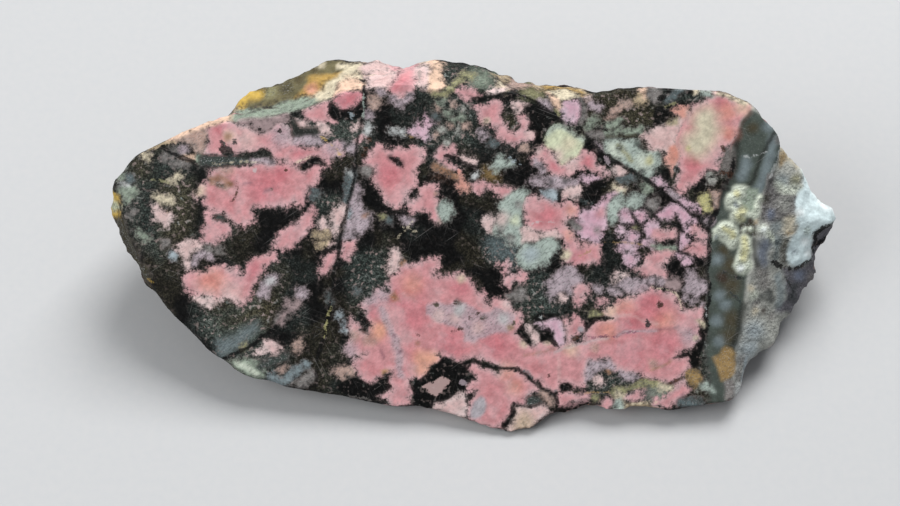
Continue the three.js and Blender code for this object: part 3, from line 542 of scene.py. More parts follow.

# The stroke of shade from u 46.8, v 18 down to u 43.2, v 6.5 is painted shadow along the border between
# the pink rock and the grey band.
TOP_RIGHT = """
mineral blush 33.5,17 36,14.6 37.6,14.8 38.2,20 39,24.6 37.5,24 36,22.3 34.5,21.5
mineral pink 38.8,25 41,25.8 43.1,27.5 49.3,25 49,24.3 47.5,22.6 47.2,21.5 47.3,20.5 46.8,18.5 46.4,17.9
 45.5,17.8 44.8,17.2 43.8,15.5 43.7,14.6 44,14 41.5,13.4 39.8,11.3 38.3,10.9 37.9,9.9 37,9.6 36,10.1
 36.5,12.3 37.3,13.6 36.6,15.2 37,16 36.5,18 36.6,20
tint rose spots 1.4 39.5,15 43.8,24.5 tint salmon spots 1.5 45.5,24 45.8,20 tint peach spots 1.2 48,24.8
mineral salmon 34.2,15 34.4,16.5 35,17.5 36,17.9 36.4,17 36.5,15.5 35.5,13
mineral salmon 35.3,24.1 37,24.7 38.3,24.5 37.6,22.8 36.9,22.8
stain moss 34,21.5 36.5,21.5 36.5,23 34,23
tint celadon 2.4 41.3,22.4 41.8,20.8 41,19.2 40,18.2
tint straw spots 0.5 38.4,17.2
light grey 0.07 35.7,13.5 36.6,15 36.8,16.5 36.2,18 36.2,19.5 36.8,21 37.7,22.3 38.8,25.2
mineral cream 0.25 43.5,27.3 48.5,25.5
ground grey 44,13 46.5,13 46.5,17.5 44.5,17.5 dark umber spots 0.55 44.5,13.3 45.8,12.8 44.7,17.2
tint umber 0.4 49.3,24 47.9,22 46.9,17.5
tint shade 0.8 46.8,18 46.4,14 46,12.5 44.4,9.5 43.2,6.5
dark black 0.3 46.4,15.5 46.4,14 46,13 dark black 0.5 43.3,6.2 42,4
mineral pearl spots 0.5 42.3,12.8 42.5,11.7 dark black 0.14 42.2,12.2 44,12.3
dark black 33.3,13.8 34.4,14.2 35.3,12.4 34.6,12 33.6,12.4 dark charcoal spots 0.7 36.2,13.8
ground slate 32,25.5 41,25.6 41,28.5 32,28.5 mineral grey spots 1.2 32.3,27
mineral steel 0.4 34.5,26 37,27.8 dark black spots 0.6 34.8,27.8 33.5,26.5 38.5,27.6
dark black 32,24.5 33.5,24.8 35,23.6 34,21.9 32.5,21.5
light moss 0.2 34,24.8 36,25.3 mineral mint 0.3 41,27.5 42.5,26.8 mineral cream spots 0.4 39.5,27.7
"""

CENTRE_RIGHT = """
mineral pink 0.2,10.3 0.4,11.1 1.3,11.3 1.8,11.7 3.2,10.7 5.6,10.6 7.5,10.2 7,9.4 5.5,8.3 4.6,8.8 3.4,10.1
 2.2,10.1 0.8,9.5
mineral mint 5,8 7,9.8 9.5,10 9.9,9.5 9.3,8.8 9.2,5 8.2,0.2 7.3,0.2 6.3,0.5 6.5,1.3 5,2.5 4.2,2.4 3.7,3
 4,4.6 5.1,6.5 4.9,7.2
tint blush spots 1.3 5,4.8 tint celadon spots 0.9 7.7,4.5 tint grey spots 0.8 6.6,1.2 5.2,3 8.2,7.4
mineral blush 1.6,4.6 2,5 3,5.1 3.6,5.4 4.3,5 3.8,4.3 3.4,2.8 2.5,2.7
mineral pink 9.5,8.7 10.3,9.2 11.3,9.1 14.5,7.8 15.3,7.2 16,7.9 16.8,8.3 17.5,8 18.3,7.2 18.8,6.3 18.9,5.3
 17,5 16.3,4.6 16.3,4 17.2,2.5 18.5,1 18.5,0.3 19.5,0.3 20.5,0.6 22.7,0.4 22.9,-1.7 22.6,-2.8 17,-3.3
 16.2,-2.9 16.5,-2 16.6,0.2 15.2,2.1 14.5,2.7 12,2.4 10.8,2.8 10,3.6 9.5,4.6 9.3,6 9.2,7.3
tint rose spots 1.6 13,5.2 18,-2 tint salmon spots 1 17.5,6.3 17,2
mineral blush 8.7,3 10,3.5 12,2.4 14.5,2.6 15.5,1.6 15,0.8 12,1.2 8.5,0.5
light chalk 0.1 11,4 14.5,4.3
mineral ice 12.3,9.5 13.2,10.2 14.4,10.2 15.1,9.5 15,8.5 14,7.9 13,8.4
dark black 0.3 15.5,9.5 15.3,8 dark black spots 0.5 11,10
mineral lilac 13,10.4 15,10.2 18,10.6 18.6,11.8 16,12.2 13,12.2
stain charcoal spots 0.5 14,11.3 16.6,11.6 mineral blush 16,9 17,10.5 19.2,10.8 19.4,9.2 18,8.4 16.6,8.5
dark black 21,11 21.5,11.6 23.3,11.8 23.6,10.8 22.5,10.2 21.8,9.3
dark charcoal 19,9 20,8 22,7.8 21,7 19.5,7.2
mineral orchid 19,5.8 20,6.3 21.3,6.6 22.4,7.3 25,9.8 25.8,10.3 26.6,10.3 26,9.4 25,8.8 24.2,7.6 23.7,4.8
 23.8,3.6 23,2.6 22.5,0.7 19.2,1.2 17.2,3.6 19,4.8
tint pink spots 1 23,6 mineral grey 16.6,4.3 17.6,4.6 18.5,4 19.2,3.4 19,2.6 18,2.6 17.2,3.2
tint grey spots 0.7 22.2,2.8 mineral cream 0.4 25,10.5 26.5,10
mineral mint 24,7.3 26.3,9.9 26.8,9 26.7,8 25.8,6 25.7,5 25.2,4.2 24.5,4 24,5 23.8,6.2
mineral mint 27.3,8.7 29.4,9.3 30.4,9.1 30.2,8.2 29.4,7.4 28.2,6.8 27.4,7.2
mineral greygreen spots 0.7 31,10.3
mineral mint 8.3,0.2 9,0.6 10,0.7 11,0.5 12,1.2 13,1.4 14.3,1.2 15.2,0.6 15.3,-0.2 13.3,-3 10.4,-4.1
 9.4,-3.9 8.5,-3.2 8.2,-2
tint ice spots 1.3 10.3,-1.3
ground steel 2.2,0.8 3,2.2 4.2,2.6 6.3,1.5 6.6,0.2 8,0 7.9,-3.2 7,-3.4 6,-2.6 4.5,-2.8 3.2,-2.2 2.6,-1
mineral cream 16,-1.9 16.3,-1 17,-0.7 17.4,-1.4 17,-2.2 16.4,-2.6
dark black 13.7,-2.2 14.6,-1.8 15.3,-2.5 15.5,-3.4 14.8,-4
mineral lilac 14.5,-5.2 15.3,-4.5 16.5,-3.9 18,-4.2 18.5,-5 19.5,-5.9 19,-6.7 18,-7 17.8,-8 17,-8.7
 16.2,-7.8 15.5,-8.2 14.9,-9 14,-9.1 13.2,-8.4 13.6,-7.5 13,-6.7 14.4,-6
mineral blush spots 0.7 15.8,-9
mineral pink 17.8,-7.3 18.6,-6.9 19.6,-6.8 20.3,-7.3 20.7,-8.3 20,-9 19.8,-10 19.2,-10.6 18.2,-10.4
 17.9,-9.4 18.1,-8.4
mineral lilac 21.2,-7.2 22.2,-7.3 22.9,-7.8 22.5,-8.3 21.6,-7.9
mineral pink 21.8,-10.2 22,-9.5 22.7,-9.2 23.2,-9.9 24,-9.8 23.4,-10.6 22.4,-10.8
mineral blush 24.6,-5.8 25,-4.9 26,-4.7 27.2,-4.8 27.5,-5.4 25.9,-6.1 25.2,-6.1
mineral lilac 24.3,-8.2 25,-7.6 26.3,-8.2 26.7,-8.8 25.4,-8.7
mineral lilac 26,-7 27.6,-5.9 30.5,-6.4 30.9,-7 31,-7.8 30,-8.4 28.6,-8.8 27.2,-8.3
mineral pink 4.7,-3.4 5.5,-3.1 6,-2.6 6.3,-3.2 6.9,-3.4 6.5,-4.8 5.7,-5 5.3,-4.4 5.5,-3.9
mineral pink 5.6,-6.2 6.2,-5.5 8.3,-5 8.5,-4.2 9.5,-4.4 9.7,-5 9.2,-6 8.4,-6.4 7.6,-6.4 6.4,-7.8 5.3,-6.8
mineral grey 6.2,-9 7,-8.3 8,-7.9 8.3,-7.2 9,-7.6 9.4,-8.6 8.6,-9.6 7.3,-9.6
ground slate 9,-5 13,-5 13,-10 9,-10
"""

MOSAIC = """
mineral orchid 25.8,5.8 26.5,6.6 27.5,6.7 28.3,4.8 28.3,4 27.2,3.9 26.4,4.4
mineral orchid 28.5,6.2 29.5,6.5 30.4,6 30.9,5.2 29.9,4 29.2,4.6
mineral grey 31.3,8.3 32.3,8.6 33,7.5 32.5,6.5 31.6,6.7 31,7.3
mineral orchid 30.9,3.8 31.5,4.5 32.5,5 33,4.6 33,1.9 32,1.2 31,1.8 30.5,2.6
mineral orchid 26.9,1.8 27.6,2.3 28.6,2.5 29.4,2 29.4,1.2 28.7,0.7 27.5,0.9
mineral orchid 25.5,3 26.3,3.5 27,3 26.7,2.2 25.9,2
mineral orchid 25.7,0.2 26.8,0.7 29.2,0.2 28.8,-0.6 28.3,-1 27,-0.9 26.2,-0.6
mineral orchid 27.2,-1.2 28.5,-1.1 29.4,-1.7 28.9,-2.7 28.3,-3.3 27.4,-3 27,-2.1
mineral orchid 30,1 31.5,1.2 32.5,0.8 32.8,0 31.7,-0.2 30.5,0.1
mineral pink 31,-1.6 32,-1.1 34,-0.8 35.4,-1 35.9,-1.3 35.2,-2.1 33.7,-3.2 34.9,-5.5 34,-5.8 33,-5.7
 32,-5.3 31,-5.3 30,-5 28.7,-4.1 30.6,-2.7 30.7,-2
light tan 0.08 19,-1.7 21,-0.6 light tan 0.08 23,0.9 30,0.4 mineral moss spots 0.25 28.8,3.3
mineral lilac 0.35 35.2,9.9 36.2,8.8
mineral orchid 32,11.8 33.2,12.2 34.2,11.6 34.6,10.8 34,10.6 33,11
mineral orchid 32.8,5.9 33.6,6.8 34.4,7.3 35.8,7.7 36.8,7.3 39.8,4.6 39.6,4.1 37.6,4 37,4.4 36.1,5.9
 35.2,4.7 34.6,4.6 33.3,5.2
mineral orchid 36.6,8.2 37,8.7 38,8.3 38.8,7.8 39,6.9 38,6.9
mineral orchid 39.3,7.4 40,7.5 40.4,6.7 40,6 39.2,6.4
mineral straw 40.4,8.7 41,9.1 41.8,9 42,7.3 42.5,6.6 42.2,5.9 41.5,6
mineral dusty 42.3,9.4 43.3,9.6 44,9 43.2,6.6 42.6,6.9
mineral lilac 41,4.5 41.8,5.2 42.8,5.2 43,4.3 42.3,3.6 41.4,3.7
mineral pink 32.2,3 33,3.2 34,2.9 34.8,3.3 35.6,2.9 36.3,2.2 36.3,1.4 35,1.3 34.2,1 33.2,1.1 32,1.6
mineral orchid 36.6,1.4 37.2,2.3 38,1.8 38.6,0.4 38,-0.3 36.9,-1 36.6,-0.2
mineral pink 39,3.4 41,2.7 41.8,1.8 41.5,0.9 40.5,1 39.9,1.4 39.4,2.2 38.6,2.6 38.2,3.2
mineral pink 38.2,0.1 39.2,0.6 41.4,0.8 41.8,0 41.8,-1 41.2,-1.8 40,-1.7 37.4,-0.9
mineral orchid 37.5,3.6 38.3,3.7 38.6,2.9 38,2.5 37.4,2.9
mineral orchid 36.3,-1.5 37,-1.3 37.6,-1.7 37,-2.3 36.5,-2
mineral orchid 38,-2.2 38.8,-1.9 39.6,-2.5 38.9,-3.2 38,-3.4 37.5,-3
dark black 0.2 31,7 31.8,6.5 33.2,4.8 34.2,4.1 35,4.2 36,3.8 37.2,2.5
dark black 0.13 34.8,8.1 32.3,5.7 dark black 0.15 36.1,5.8 36.2,4.8 36.6,4
dark black 0.25 42,5.8 40.3,4.3
dark black 0.15 36.4,2.6 36.4,-0.6 36.9,-1.2 38,-1.5 40.2,-3.2
dark black 0.1 38.9,0 37.3,-1.1 dark black 0.15 39.5,8.9 40.5,9.2
dark black 0.15 39.9,6.9 40.1,5.5 dark black 0.2 28,6 28.9,4.6 29,3.2
dark black 0.15 26.6,3.9 29.6,3.8 30.5,4.3 dark black 0.12 29.6,3 30,1 29.6,0.4
dark black 0.25 42,5 41.9,-6 42.3,-9.5 41.5,-12 41.8,-14 40.6,-18
mineral mauve 34.3,-6 35.5,-5.7 37,-6.2 37,-7.2 36,-7.8 34,-6.9
mineral lilac 37.4,-7.3 38,-6.5 38.2,-5 38.6,-4.2 39.4,-4.5 39.6,-5.6 40.6,-6 41.6,-6.8 41.6,-8.2
 40.6,-7.9 39.8,-8.8 38.8,-8.6 37.2,-7.9
mineral lilac 0.5 32,-6 33.4,-6.2 light cream 0.1 32,-7.3 35.8,-8.3 37,-11
mineral lilac spots 0.25 37.5,-9.3 38.6,-10 39.6,-9.4 40.7,-10.3
mineral greygreen 0.25 31.9,0.2 34,-0.4 36.2,-0.5
"""

LOWER_PINK = """
mineral pink -15,-8 -15.6,-7 -14.6,-5.4 -13.6,-4.9 -12,-3.4 -11,-3.5 -10,-3.2 -9,-2.4 -8,-2.2 -7,-2.4
 -6.4,-2.2 -6,-3.8 -7,-4.5 -7,-5.3 -5.5,-5.2 -4.5,-5.4 -3.7,-5.3 -2.6,-4.7 -1.9,-4.9 -0.6,-6 1.3,-8.2
 2,-8.2 2.5,-9 2.9,-10.8 4,-9.5 5,-9.2 6,-9.8 7.6,-12 8.4,-11.7 9,-12.4 8.9,-13.4 7.8,-15.6 8.3,-16.3
 10.4,-17.8 11.5,-17.6 13.5,-16.8 14.3,-17 15.2,-17.9 15.8,-17.6 18.5,-17.2 19.6,-16.6 20.7,-14.6
 21.5,-13.9 22.3,-13.5 25.1,-12.9 22.8,-12.4 23,-11.8 24.5,-10.7 26.5,-9.6 30.3,-8.6 32,-7.6 35.3,-8.4
 37,-11.2 38,-11.4 40.8,-10.8 41.1,-11.5 40.9,-13.3 40,-14.8 40.2,-16.3 39.9,-17.2 39.2,-17.9 38.3,-18.3
 36.5,-18.7 35.7,-19.8 37.3,-19.7 38.2,-19.4 38.6,-20 38.5,-21 38.8,-21.6 38.1,-21.9 37.6,-23 36.8,-23.7
 34.5,-24.2 33,-24 29,-22.7 27.5,-22.5 25.3,-21.8 24,-20.3 20.3,-20.6 20.3,-22.5 20,-23.9 19,-24.9
 18,-24.8 17,-24.2 15.8,-24.3 15.4,-25 15.2,-26 14.6,-26.3 12.4,-24.7 11.8,-23.5 11,-23.8 8,-21.8
 6.5,-21.6 5,-21.7 2,-20.2 0,-19.8 -1.5,-20 -2.3,-20.5 -3.3,-20.3 -4,-19.7 -5,-19.4 -7,-19.3 -6.3,-19.7
 -5.9,-20.3 -6.5,-20.7 -7.3,-20.6 -8.3,-22 -8.6,-22.9 -9.3,-23.6 -11.5,-24 -10.8,-26 -11.2,-28.1 -14,-28.5
 -15.2,-27.9 -15.4,-27.3 -16.2,-27.1 -16.6,-26.6 -14.4,-25.6 -14.3,-25 -14.9,-24.2 -14.2,-22.8 -14.3,-21.9
 -14.9,-22 -16.4,-23.4 -17,-23.6 -18.3,-24.7 -20,-23.8 -20.6,-23 -21.2,-21 -20.7,-20.2 -19,-19.3
 -20.5,-19.3 -21.2,-19.8 -22,-19.6 -23,-19 -23.2,-18.5 -22.6,-18 -22,-17 -21.8,-15.8 -22.2,-14.5
 -22.2,-13.3 -21.6,-12.2 -21.2,-13.3 -20.3,-14 -20.2,-15 -19.5,-15.3 -18,-13.8 -19,-12.5 -19.7,-10.5
 -17,-7.5 -16,-8
tint lilac spots 1.5 -18,-9.5 -16.3,-8.5 -22,-18.7 38.3,-16
tint rose spots 1.6 -17.5,-12.5 -13,-9.5 -2,-7.5 tint rose spots 2.5 -10.5,-13 -4,-17.5 4,-17.5
tint salmon spots 1.8 -17,-15 -11,-7 24,-15 27.3,-11 34,-13 tint dusty spots 1.2 -18.5,-16.5 -21.3,-16
tint lilac 0.6 -16.2,-11 -15.2,-14 -14,-16.5 -13.3,-19 -12.8,-23
tint apricot spots 1.5 -9.3,-20 -9,-21.8 tint apricot spots 1.3 -7.3,-20 -16.8,-14.8
tint cream spots 0.8 9,-17.3 13.5,-16.9 -2,-5.7
tint peach spots 1.2 24.5,-11.7 17.5,-18.5 tint rose spots 2.5 31.5,-10.5 28.5,-14 28,-19.5 34,-18
tint dusty spots 0.8 21.5,-18.3 32.3,-21
tint brown spots 0.7 -14.2,-8.9 stain brown -14.9,-8.8 -14,-8 -13.1,-9.7 -14,-9.5
stain plum spots 0.3 -14,-16.3 -13.2,-18.8 stain plum 0.2 -16.2,-18.5 -15.8,-19.7
stain ochre -16.4,-22.2 -15.3,-21.9 -14.7,-22.1 -15.7,-23.1 -16.3,-22.9 stain brown spots 0.4 -10,-17.3
stain lilac -8.3,-10.6 -6,-10 -4.5,-10.4 -3,-9.8 0,-10.8 1,-11.6 3,-11.7 4.2,-10.8 7.5,-12.5 7.4,-14
 6,-15.2 3.8,-15.6 0.3,-17 -1.6,-16.8 -1.7,-15.2 -3.5,-14.3 -5,-13.9 -8.2,-12
tint blush spots 1 -6,-12.3 -3.2,-12.8 0.8,-14.6 5.8,-10.6 tint chalk spots 1 -2.4,-11.4 5.2,-13
tint olive spots 0.5 1.7,-12.8 -2.8,-10.1 tint tan spots 0.6 6.6,-14.3
dark umber spots 0.28 -3.2,-10 0.8,-12 -2.5,-14.6 dark olive spots 0.32 1.7,-13.2 7.2,-13.6 -6.4,-10.4
dark umber spots 0.22 -2.2,-14.7 -0.6,-12.7 -9.7,-15.8 13.7,-23.2 dark umber 0.1 -3.9,-15.4 -2.3,-14.8
dark umber spots 0.45 33.3,-10.5 dark charcoal 30.8,-12.8 32,-13.8 31.6,-14.2 31,-14.3
dark plum 0.1 20.3,-16.2 21.3,-16.6 24.5,-16.2 27.5,-15.4 29,-15.3
stain lilac 0.25 25.5,-16.2 27,-15.4 30,-15 33,-14.9 stain chalk 0.08 14.5,-18.9 19,-17.5 24,-16.6
stain blush 0.12 26,-12.5 28,-12.4 33,-13.8
stain blush 0.12 15.3,-20 15.5,-23.5 stain brown 0.1 9,-19.4 11,-19.3 14.5,-18.3
stain plum 0.1 33.5,-14.7 35,-14.6 36.5,-14.2 stain tan 0.12 32,-22 34.7,-21 35.3,-20.3
dark black -20.4,-11.5 -19.6,-11.8 -18.4,-13.6 -19.2,-14.3 -20.4,-12.4
stain olive spots 0.6 -19.7,-14.8
dark black -24,-24.6 -22.5,-23.9 -21,-23.5 -18.8,-24.8 -17.5,-25 -15.5,-23.3 -14.8,-23.6 -15,-24.6
 -14.6,-25.4 -17,-26.6 -18.5,-26 -22,-26.3 -24,-25.8
light grey 0.18 -22,-26.7 -20,-26.9 -18.5,-27.4
dark black -11.2,-24.1 -10.5,-24.2 -9.2,-23.9 -8.3,-22.8 -7.6,-21.4 -6.4,-21 -4.9,-19.7 -2.6,-20.9
 -1.4,-20.3 -0.3,-20.2 -0.5,-21.8 -1.3,-22.5 -1,-23.5 -1.8,-25.4 -3,-25.7 -3.9,-26.7 -5,-27.3 -6.6,-27.7
 -7.3,-28.8 -9,-28.9 -10.9,-28.1 -10.6,-26.4
light blush -8.9,-25.3 -8.3,-24.7 -7,-24.3 -6.5,-23.6 -5.6,-23.2 -4.2,-24 -4.5,-24.8 -6.5,-26.4 -7.4,-26.5
light lilac -2.6,-24.1 -2,-23.7 -1.2,-23.9 -1,-24.5 -1.6,-24.9 -2.3,-24.7
mineral blush -6.9,-28.5 -6.5,-27.9 -4.4,-27.3 -2.4,-25.9 -1.8,-26.5 -1.3,-28.3 -1.7,-30.4 -3,-30.2
 -6.7,-29
dark black 0.22 -0.8,-20.6 0,-20.3 1.8,-21.2 2.3,-20.9 3,-21 4,-21.8 7,-21.7 8,-22 11.8,-25 13.7,-26
 14.5,-26.7 15,-27.5 15,-28
dark black 0.42 2.2,-21 4,-21.7 dark black 0.2 11.5,-23.6 11.9,-24.6 dark black 0.15 -0.8,-22.3 0.4,-23
light steel 0.2 9,-22.3 10.5,-23.4 light steel spots 0.35 14.7,-26
mineral pink -1,-21.4 0.3,-20.9 2,-21.9 3,-22 4.4,-22.8 5,-22.3 6,-22 7.2,-22.1 8.3,-22.6 11.6,-25.2
 11.3,-25.8 10.3,-26.2 9,-28 8.2,-28.3 7.3,-28.1 6.8,-29.5 4.8,-32.2 4,-32.4 3,-32.3 -1,-30.5 -1.2,-29.5
 -0.8,-28.5 0,-27.4 0.2,-26 -1,-25.8 -1,-24.8 -0.5,-24.3 0.3,-24 0.8,-23.3
tint salmon spots 1.5 6,-22.3 7.5,-25
stain ice 0.3,-27.6 1.3,-27 2.3,-27.3 2.7,-28.3 2.4,-29.5 1.6,-30.5 0.5,-30.7 -0.5,-30.3 -0.6,-29.2
dark black 0.3 7.3,-28.3 7.2,-29.3 6.8,-30.2 5.3,-32 dark black 0.16 7.3,-28.2 9.5,-28.6 12,-28.2
mineral slate 9.9,-26.4 10.8,-26.7 12.3,-28 11,-28.2 9.8,-28.1 9.4,-27.6
mineral blush 7.6,-28.7 12,-28.3 13.3,-28.6 13.7,-29.2 13.3,-30 12.3,-30.8 9,-32.8 6,-33 7.3,-30
tint sand spots 2 9,-31.5
mineral dusty 12.1,-25.6 13,-26 14.5,-27.6 14.3,-28.3 13.3,-28.3 12.3,-26.7
mineral pink 15,-27.9 15.2,-27 15.8,-26.5 17,-26.1 19.8,-26.1 20.8,-26.6 20.7,-27.2 16.8,-28.3 15.6,-28.4
dark black 15.6,-24.8 16.2,-24.3 17.1,-24.4 17.8,-25.1 17.2,-25.8 16.2,-25.9 15.6,-25.4
ground slate 20.3,-24.8 21.3,-23.2 22.6,-21.8 25,-21.9 26.3,-23.8 28.2,-24.2 24.5,-25.9 21.5,-26.4
mineral blush 21.5,-23.5 22.2,-23 23,-23.3 23.4,-24 22.8,-24.7 21.9,-24.8 21.5,-24.2
mineral brown spots 0.4 24,-22.3
mineral lilac 20.3,-20.4 22,-20.5 24,-20.3 25,-21 25.3,-21.8 23.5,-21.6 22,-21.9 20.8,-23.5 20,-23.9
mineral lilac 26,-22 27.5,-22.5 29,-22.7 29.5,-23.4 28.5,-24.1 27.2,-24 26.4,-23.2
mineral moss 0.35 25,-26 27.5,-25.6 31.5,-24.3 33,-24.5 light tan 0.08 18,-26 24,-26
mineral pink 22.5,-28.8 23,-27.6 23.8,-26.9 24.6,-27.2 24.5,-28.2 24,-29 23,-29.2
mineral cream 0.4 25.5,-26.3 27,-27.4 mineral mint 24.8,-28.6 25.2,-27.3 26,-27.2 26.9,-28 27,-28.9
 25.8,-29.2
mineral pink 26.9,-27.2 28,-26.4 29.5,-25.8 30.4,-26 30.2,-27 29,-27.6 27.6,-27.8
ground grey 30.7,-25.5 33,-25.5 33,-27 30.7,-27
mineral sand 27,-28 29,-28.2 33,-27.9 33,-28.8 30,-29 27,-28.9 light cream 0.1 27,-28.3 33,-27.8
mineral moss 0.2 21.5,-27 22.3,-27.4 dark black spots 0.3 23.1,-27.2
"""

LOWER_LOBES = """
mineral blush 9.2,-14.9 9.8,-14.3 10.6,-14.4 11,-15 11.6,-15.4 11.8,-16.2 11.6,-17.2 10.9,-17.6 10.2,-16
mineral orchid 11.1,-13.8 11.7,-13.4 12.5,-13.7 14.8,-12.7 15.7,-12.9 16.4,-15.3 16.5,-17.3 15.6,-17.8
 14.6,-16.6 14,-15 13.5,-14.5 12.6,-14.9
mineral pink 16.3,-12.8 17,-12.8 17.2,-13.6 18,-13.2 17.9,-12.5 18.6,-12.4 20.2,-14.3 20,-15 18.4,-15.8
 17.5,-16 17,-17.4 16.5,-17.2
stain ice spots 0.6 19.3,-14.8 light olive 0.12 15.9,-12.3 16.7,-15.5 16.8,-17
dark black 7.7,-15 8.8,-14.1 9.4,-14.6 9.2,-15.2 9.9,-15.8 10.6,-17.4 10,-17.5 8.4,-16.2
dark black 10.2,-13.9 12.2,-15 13.2,-14.9 13.6,-14.5 14.3,-16.2 15.3,-17.8 14.6,-18 13.9,-17.2 13.2,-16.8
 12.2,-17.1 11.7,-15.4 11,-14.9
dark umber 17.8,-16.2 18.5,-15.9 19,-16.1 18.7,-16.8 18.1,-16.9
dark black 10.2,-12.9 11,-12.2 12.4,-11.9 15.8,-11.8 15.6,-12.6 14.5,-12.5 12.5,-13.3 11.5,-13.2
 10.8,-13.6
light chalk spots 0.3 11.9,-12.6
dark black 20,-13.8 20.3,-13 21.2,-12.7 22.3,-12.7 23.3,-12.4 25.2,-12.9 24,-13.1 23.2,-13.5 22.2,-13.4
 20.5,-14.6 20,-15.3
ground slate 8,-9.5 16,-9.5 16,-12 8,-12 mineral moss 0.3 21,-12.3 22.8,-12.2
"""

LOWER_RIGHT = """
mineral cream 39.9,-13.3 40.6,-13.2 41.1,-13.7 41,-14.5 40.5,-14.3 tint cream spots 0.5 39.5,-16.4
dark black 40,-15.2 40.8,-14.7 41.5,-15.1 40.7,-16.5 40.1,-16
dark black 35.8,-19.7 39,-18.4 40.4,-16.8 40.6,-18.4 37.6,-19.8
dark black 38.4,-19.2 42,-16.5 40.8,-18.5 40.2,-20 40,-21.5 39.3,-21.9 38.7,-21 38.8,-20
dark umber 0.18 34.5,-24.5 37.3,-23.4
mineral pink 35.4,-25.5 37,-24 37.7,-23.8 38.6,-25.6 37.5,-27 35.6,-28 34.8,-28.8 32,-28.4 32,-27.3
 33.5,-27.2 34.5,-26.6
stain plum spots 0.3 37.3,-26.5 mineral cream 0.5 33.5,-25 35,-25.2
ground greygreen 32,-25 34.5,-25 34.5,-27.2 32,-27.2
ground slate 41,-18 43,-18 43,-24 41,-24 ground olive 39,-25.8 44,-25.8 44,-28 39,-28
mineral tan 38.2,-22.4 38.8,-22 39.8,-22 40.8,-24.7 40.4,-25.4 38.8,-24.6 38.2,-23.7
mineral tan 43,-20 44,-19.4 44.5,-18.5 45.3,-18 46.1,-18.3 46.4,-19.3 46.3,-20.4 46.7,-21.3 46.8,-22.2
 46.3,-23 45,-24 44.2,-23.9
mineral mint 40.7,-24.7 41.5,-24.3 42.3,-24.9 43,-26.1 41,-25.5 40.2,-25.6
mineral steel 0.6 37,-27.6 40,-28.2 mineral grey 0.9 45.6,-24.8 45.8,-26.6
mineral chalk 47.2,-24.3 47.6,-25.8 47.3,-26.6 46.7,-26.3 46.6,-25.5
light chalk 0.12 41.6,-10.8 41.6,-12.3 light chalk 0.12 41.5,-17 41.8,-18
"""

# The pale grey band of chalcedony beside the pink rock, its crusts and the broken right end
# Its last stroke of shade, from u 48.4, v -10.3 down to u 46, v -22, is painted shade along the right edge
# of the cut, where the broken rock begins.
BAND = """
mineral pearl 46,25 50,26 56,19 68,18 68,-30 43,-30 45,-12 47,10
mineral smoke 50,24 48.3,22.5 47.2,19 46.5,15 46.3,12 43.6,8 42.8,6 42.2,3 42,0 42,-10 41.6,-18 42,-28
 46,-28 46.5,-20 48.3,-10 50.3,7 51.2,9 52.8,11.5 55,17.5 55,20 53,22.5
tint resin spots 1.1 49.8,21 tint haze spots 1 52.5,21.3 tint haze 0.9 53.3,19 53,16.5 51.5,11.5 50.8,10
tint haze 0.9 48.6,15 47.8,12.5 tint shade 0.35 53.6,20.5 51.2,16 49.8,12 49,10.8
tint ash spots 0.8 54.4,19
light chalk 0.1 54.9,17.6 52.9,11.8 light chalk 0.07 48.3,15.9 50.5,16.3 52.2,17
tint resin spots 1.7 46,-3.5 46,-7 46,-13.3 45.6,-16 tint resin spots 1 44.6,-0.8
tint umber spots 0.9 44.3,-5.6 tint haze spots 1 43.5,-2.5 44,-8.8 45,-10.6 43.4,-13.2 44,-17
tint shade 0.6 48.4,-10.3 46.5,-18 46,-22
dark charcoal 0.12 44.5,-4.8 48.3,-5.8 dark charcoal 0.12 46,-8.3 47.8,-9.8
"""

# Knobbly pale crusts that stand a little proud of the cut
CRUSTS = """
mineral foam 45,8.3 45.3,8.9 46.1,9.3 46.3,10.2 47,10.8 48.2,10.8 48.9,10.3 48.3,9.7 48.4,9 47.8,8.3 48,7.2
 48.5,6.3 48.4,5.6 47.9,5 47.2,4.3 46.2,4.4 45.9,5.1 46,6 45.4,6.5 45.1,7.3
tint straw spots 0.6 47,9.1 tint straw spots 0.8 47.4,5.3 48,6.4 stain denim spots 0.35 46.8,7.4 47.1,7.1
mineral foam 42.5,2.7 43.3,3.3 44,4.1 45.2,4.4 46.5,4.1 46.8,3.2 47.3,2.4 47,1.6 47.4,0.9 47,0 46.5,-0.4
 45.8,-0.3 45.2,0.5 44.5,1.1 43.5,1.4 42.9,1.1 42.6,1.8
tint straw 0.5 44.8,3 46,2.5 46.3,1.7 stain ice spots 0.35 43.2,1.5
mineral foam 47.6,1.4 48.2,2 48.9,1.5 49.5,1 49.6,-0.5 49.3,-2 49.6,-3.5 49.2,-4.6 48.3,-4.9 47.2,-4.6
 46.5,-3.7 46.9,-2.5 47.4,-1.2 47.6,0.2
tint straw 0.6 48.4,1 48.6,-0.6 48.3,-2.2 tint snow spots 0.6 47.7,-3.9
mineral foam 50.8,2.9 51.4,3.6 52,3.7 52.5,3 53,2.2 53.4,1.5 53.2,0.8 52.6,0.9 52.2,1.6 51.8,2.1
tint snow spots 0.6 51.8,2.9 mineral foam 0.45 50.1,5.4 50.4,6.6 50.6,7.6 51.2,8.6
mineral foam spots 0.45 49.2,5.9 49.6,3 48.3,3
"""
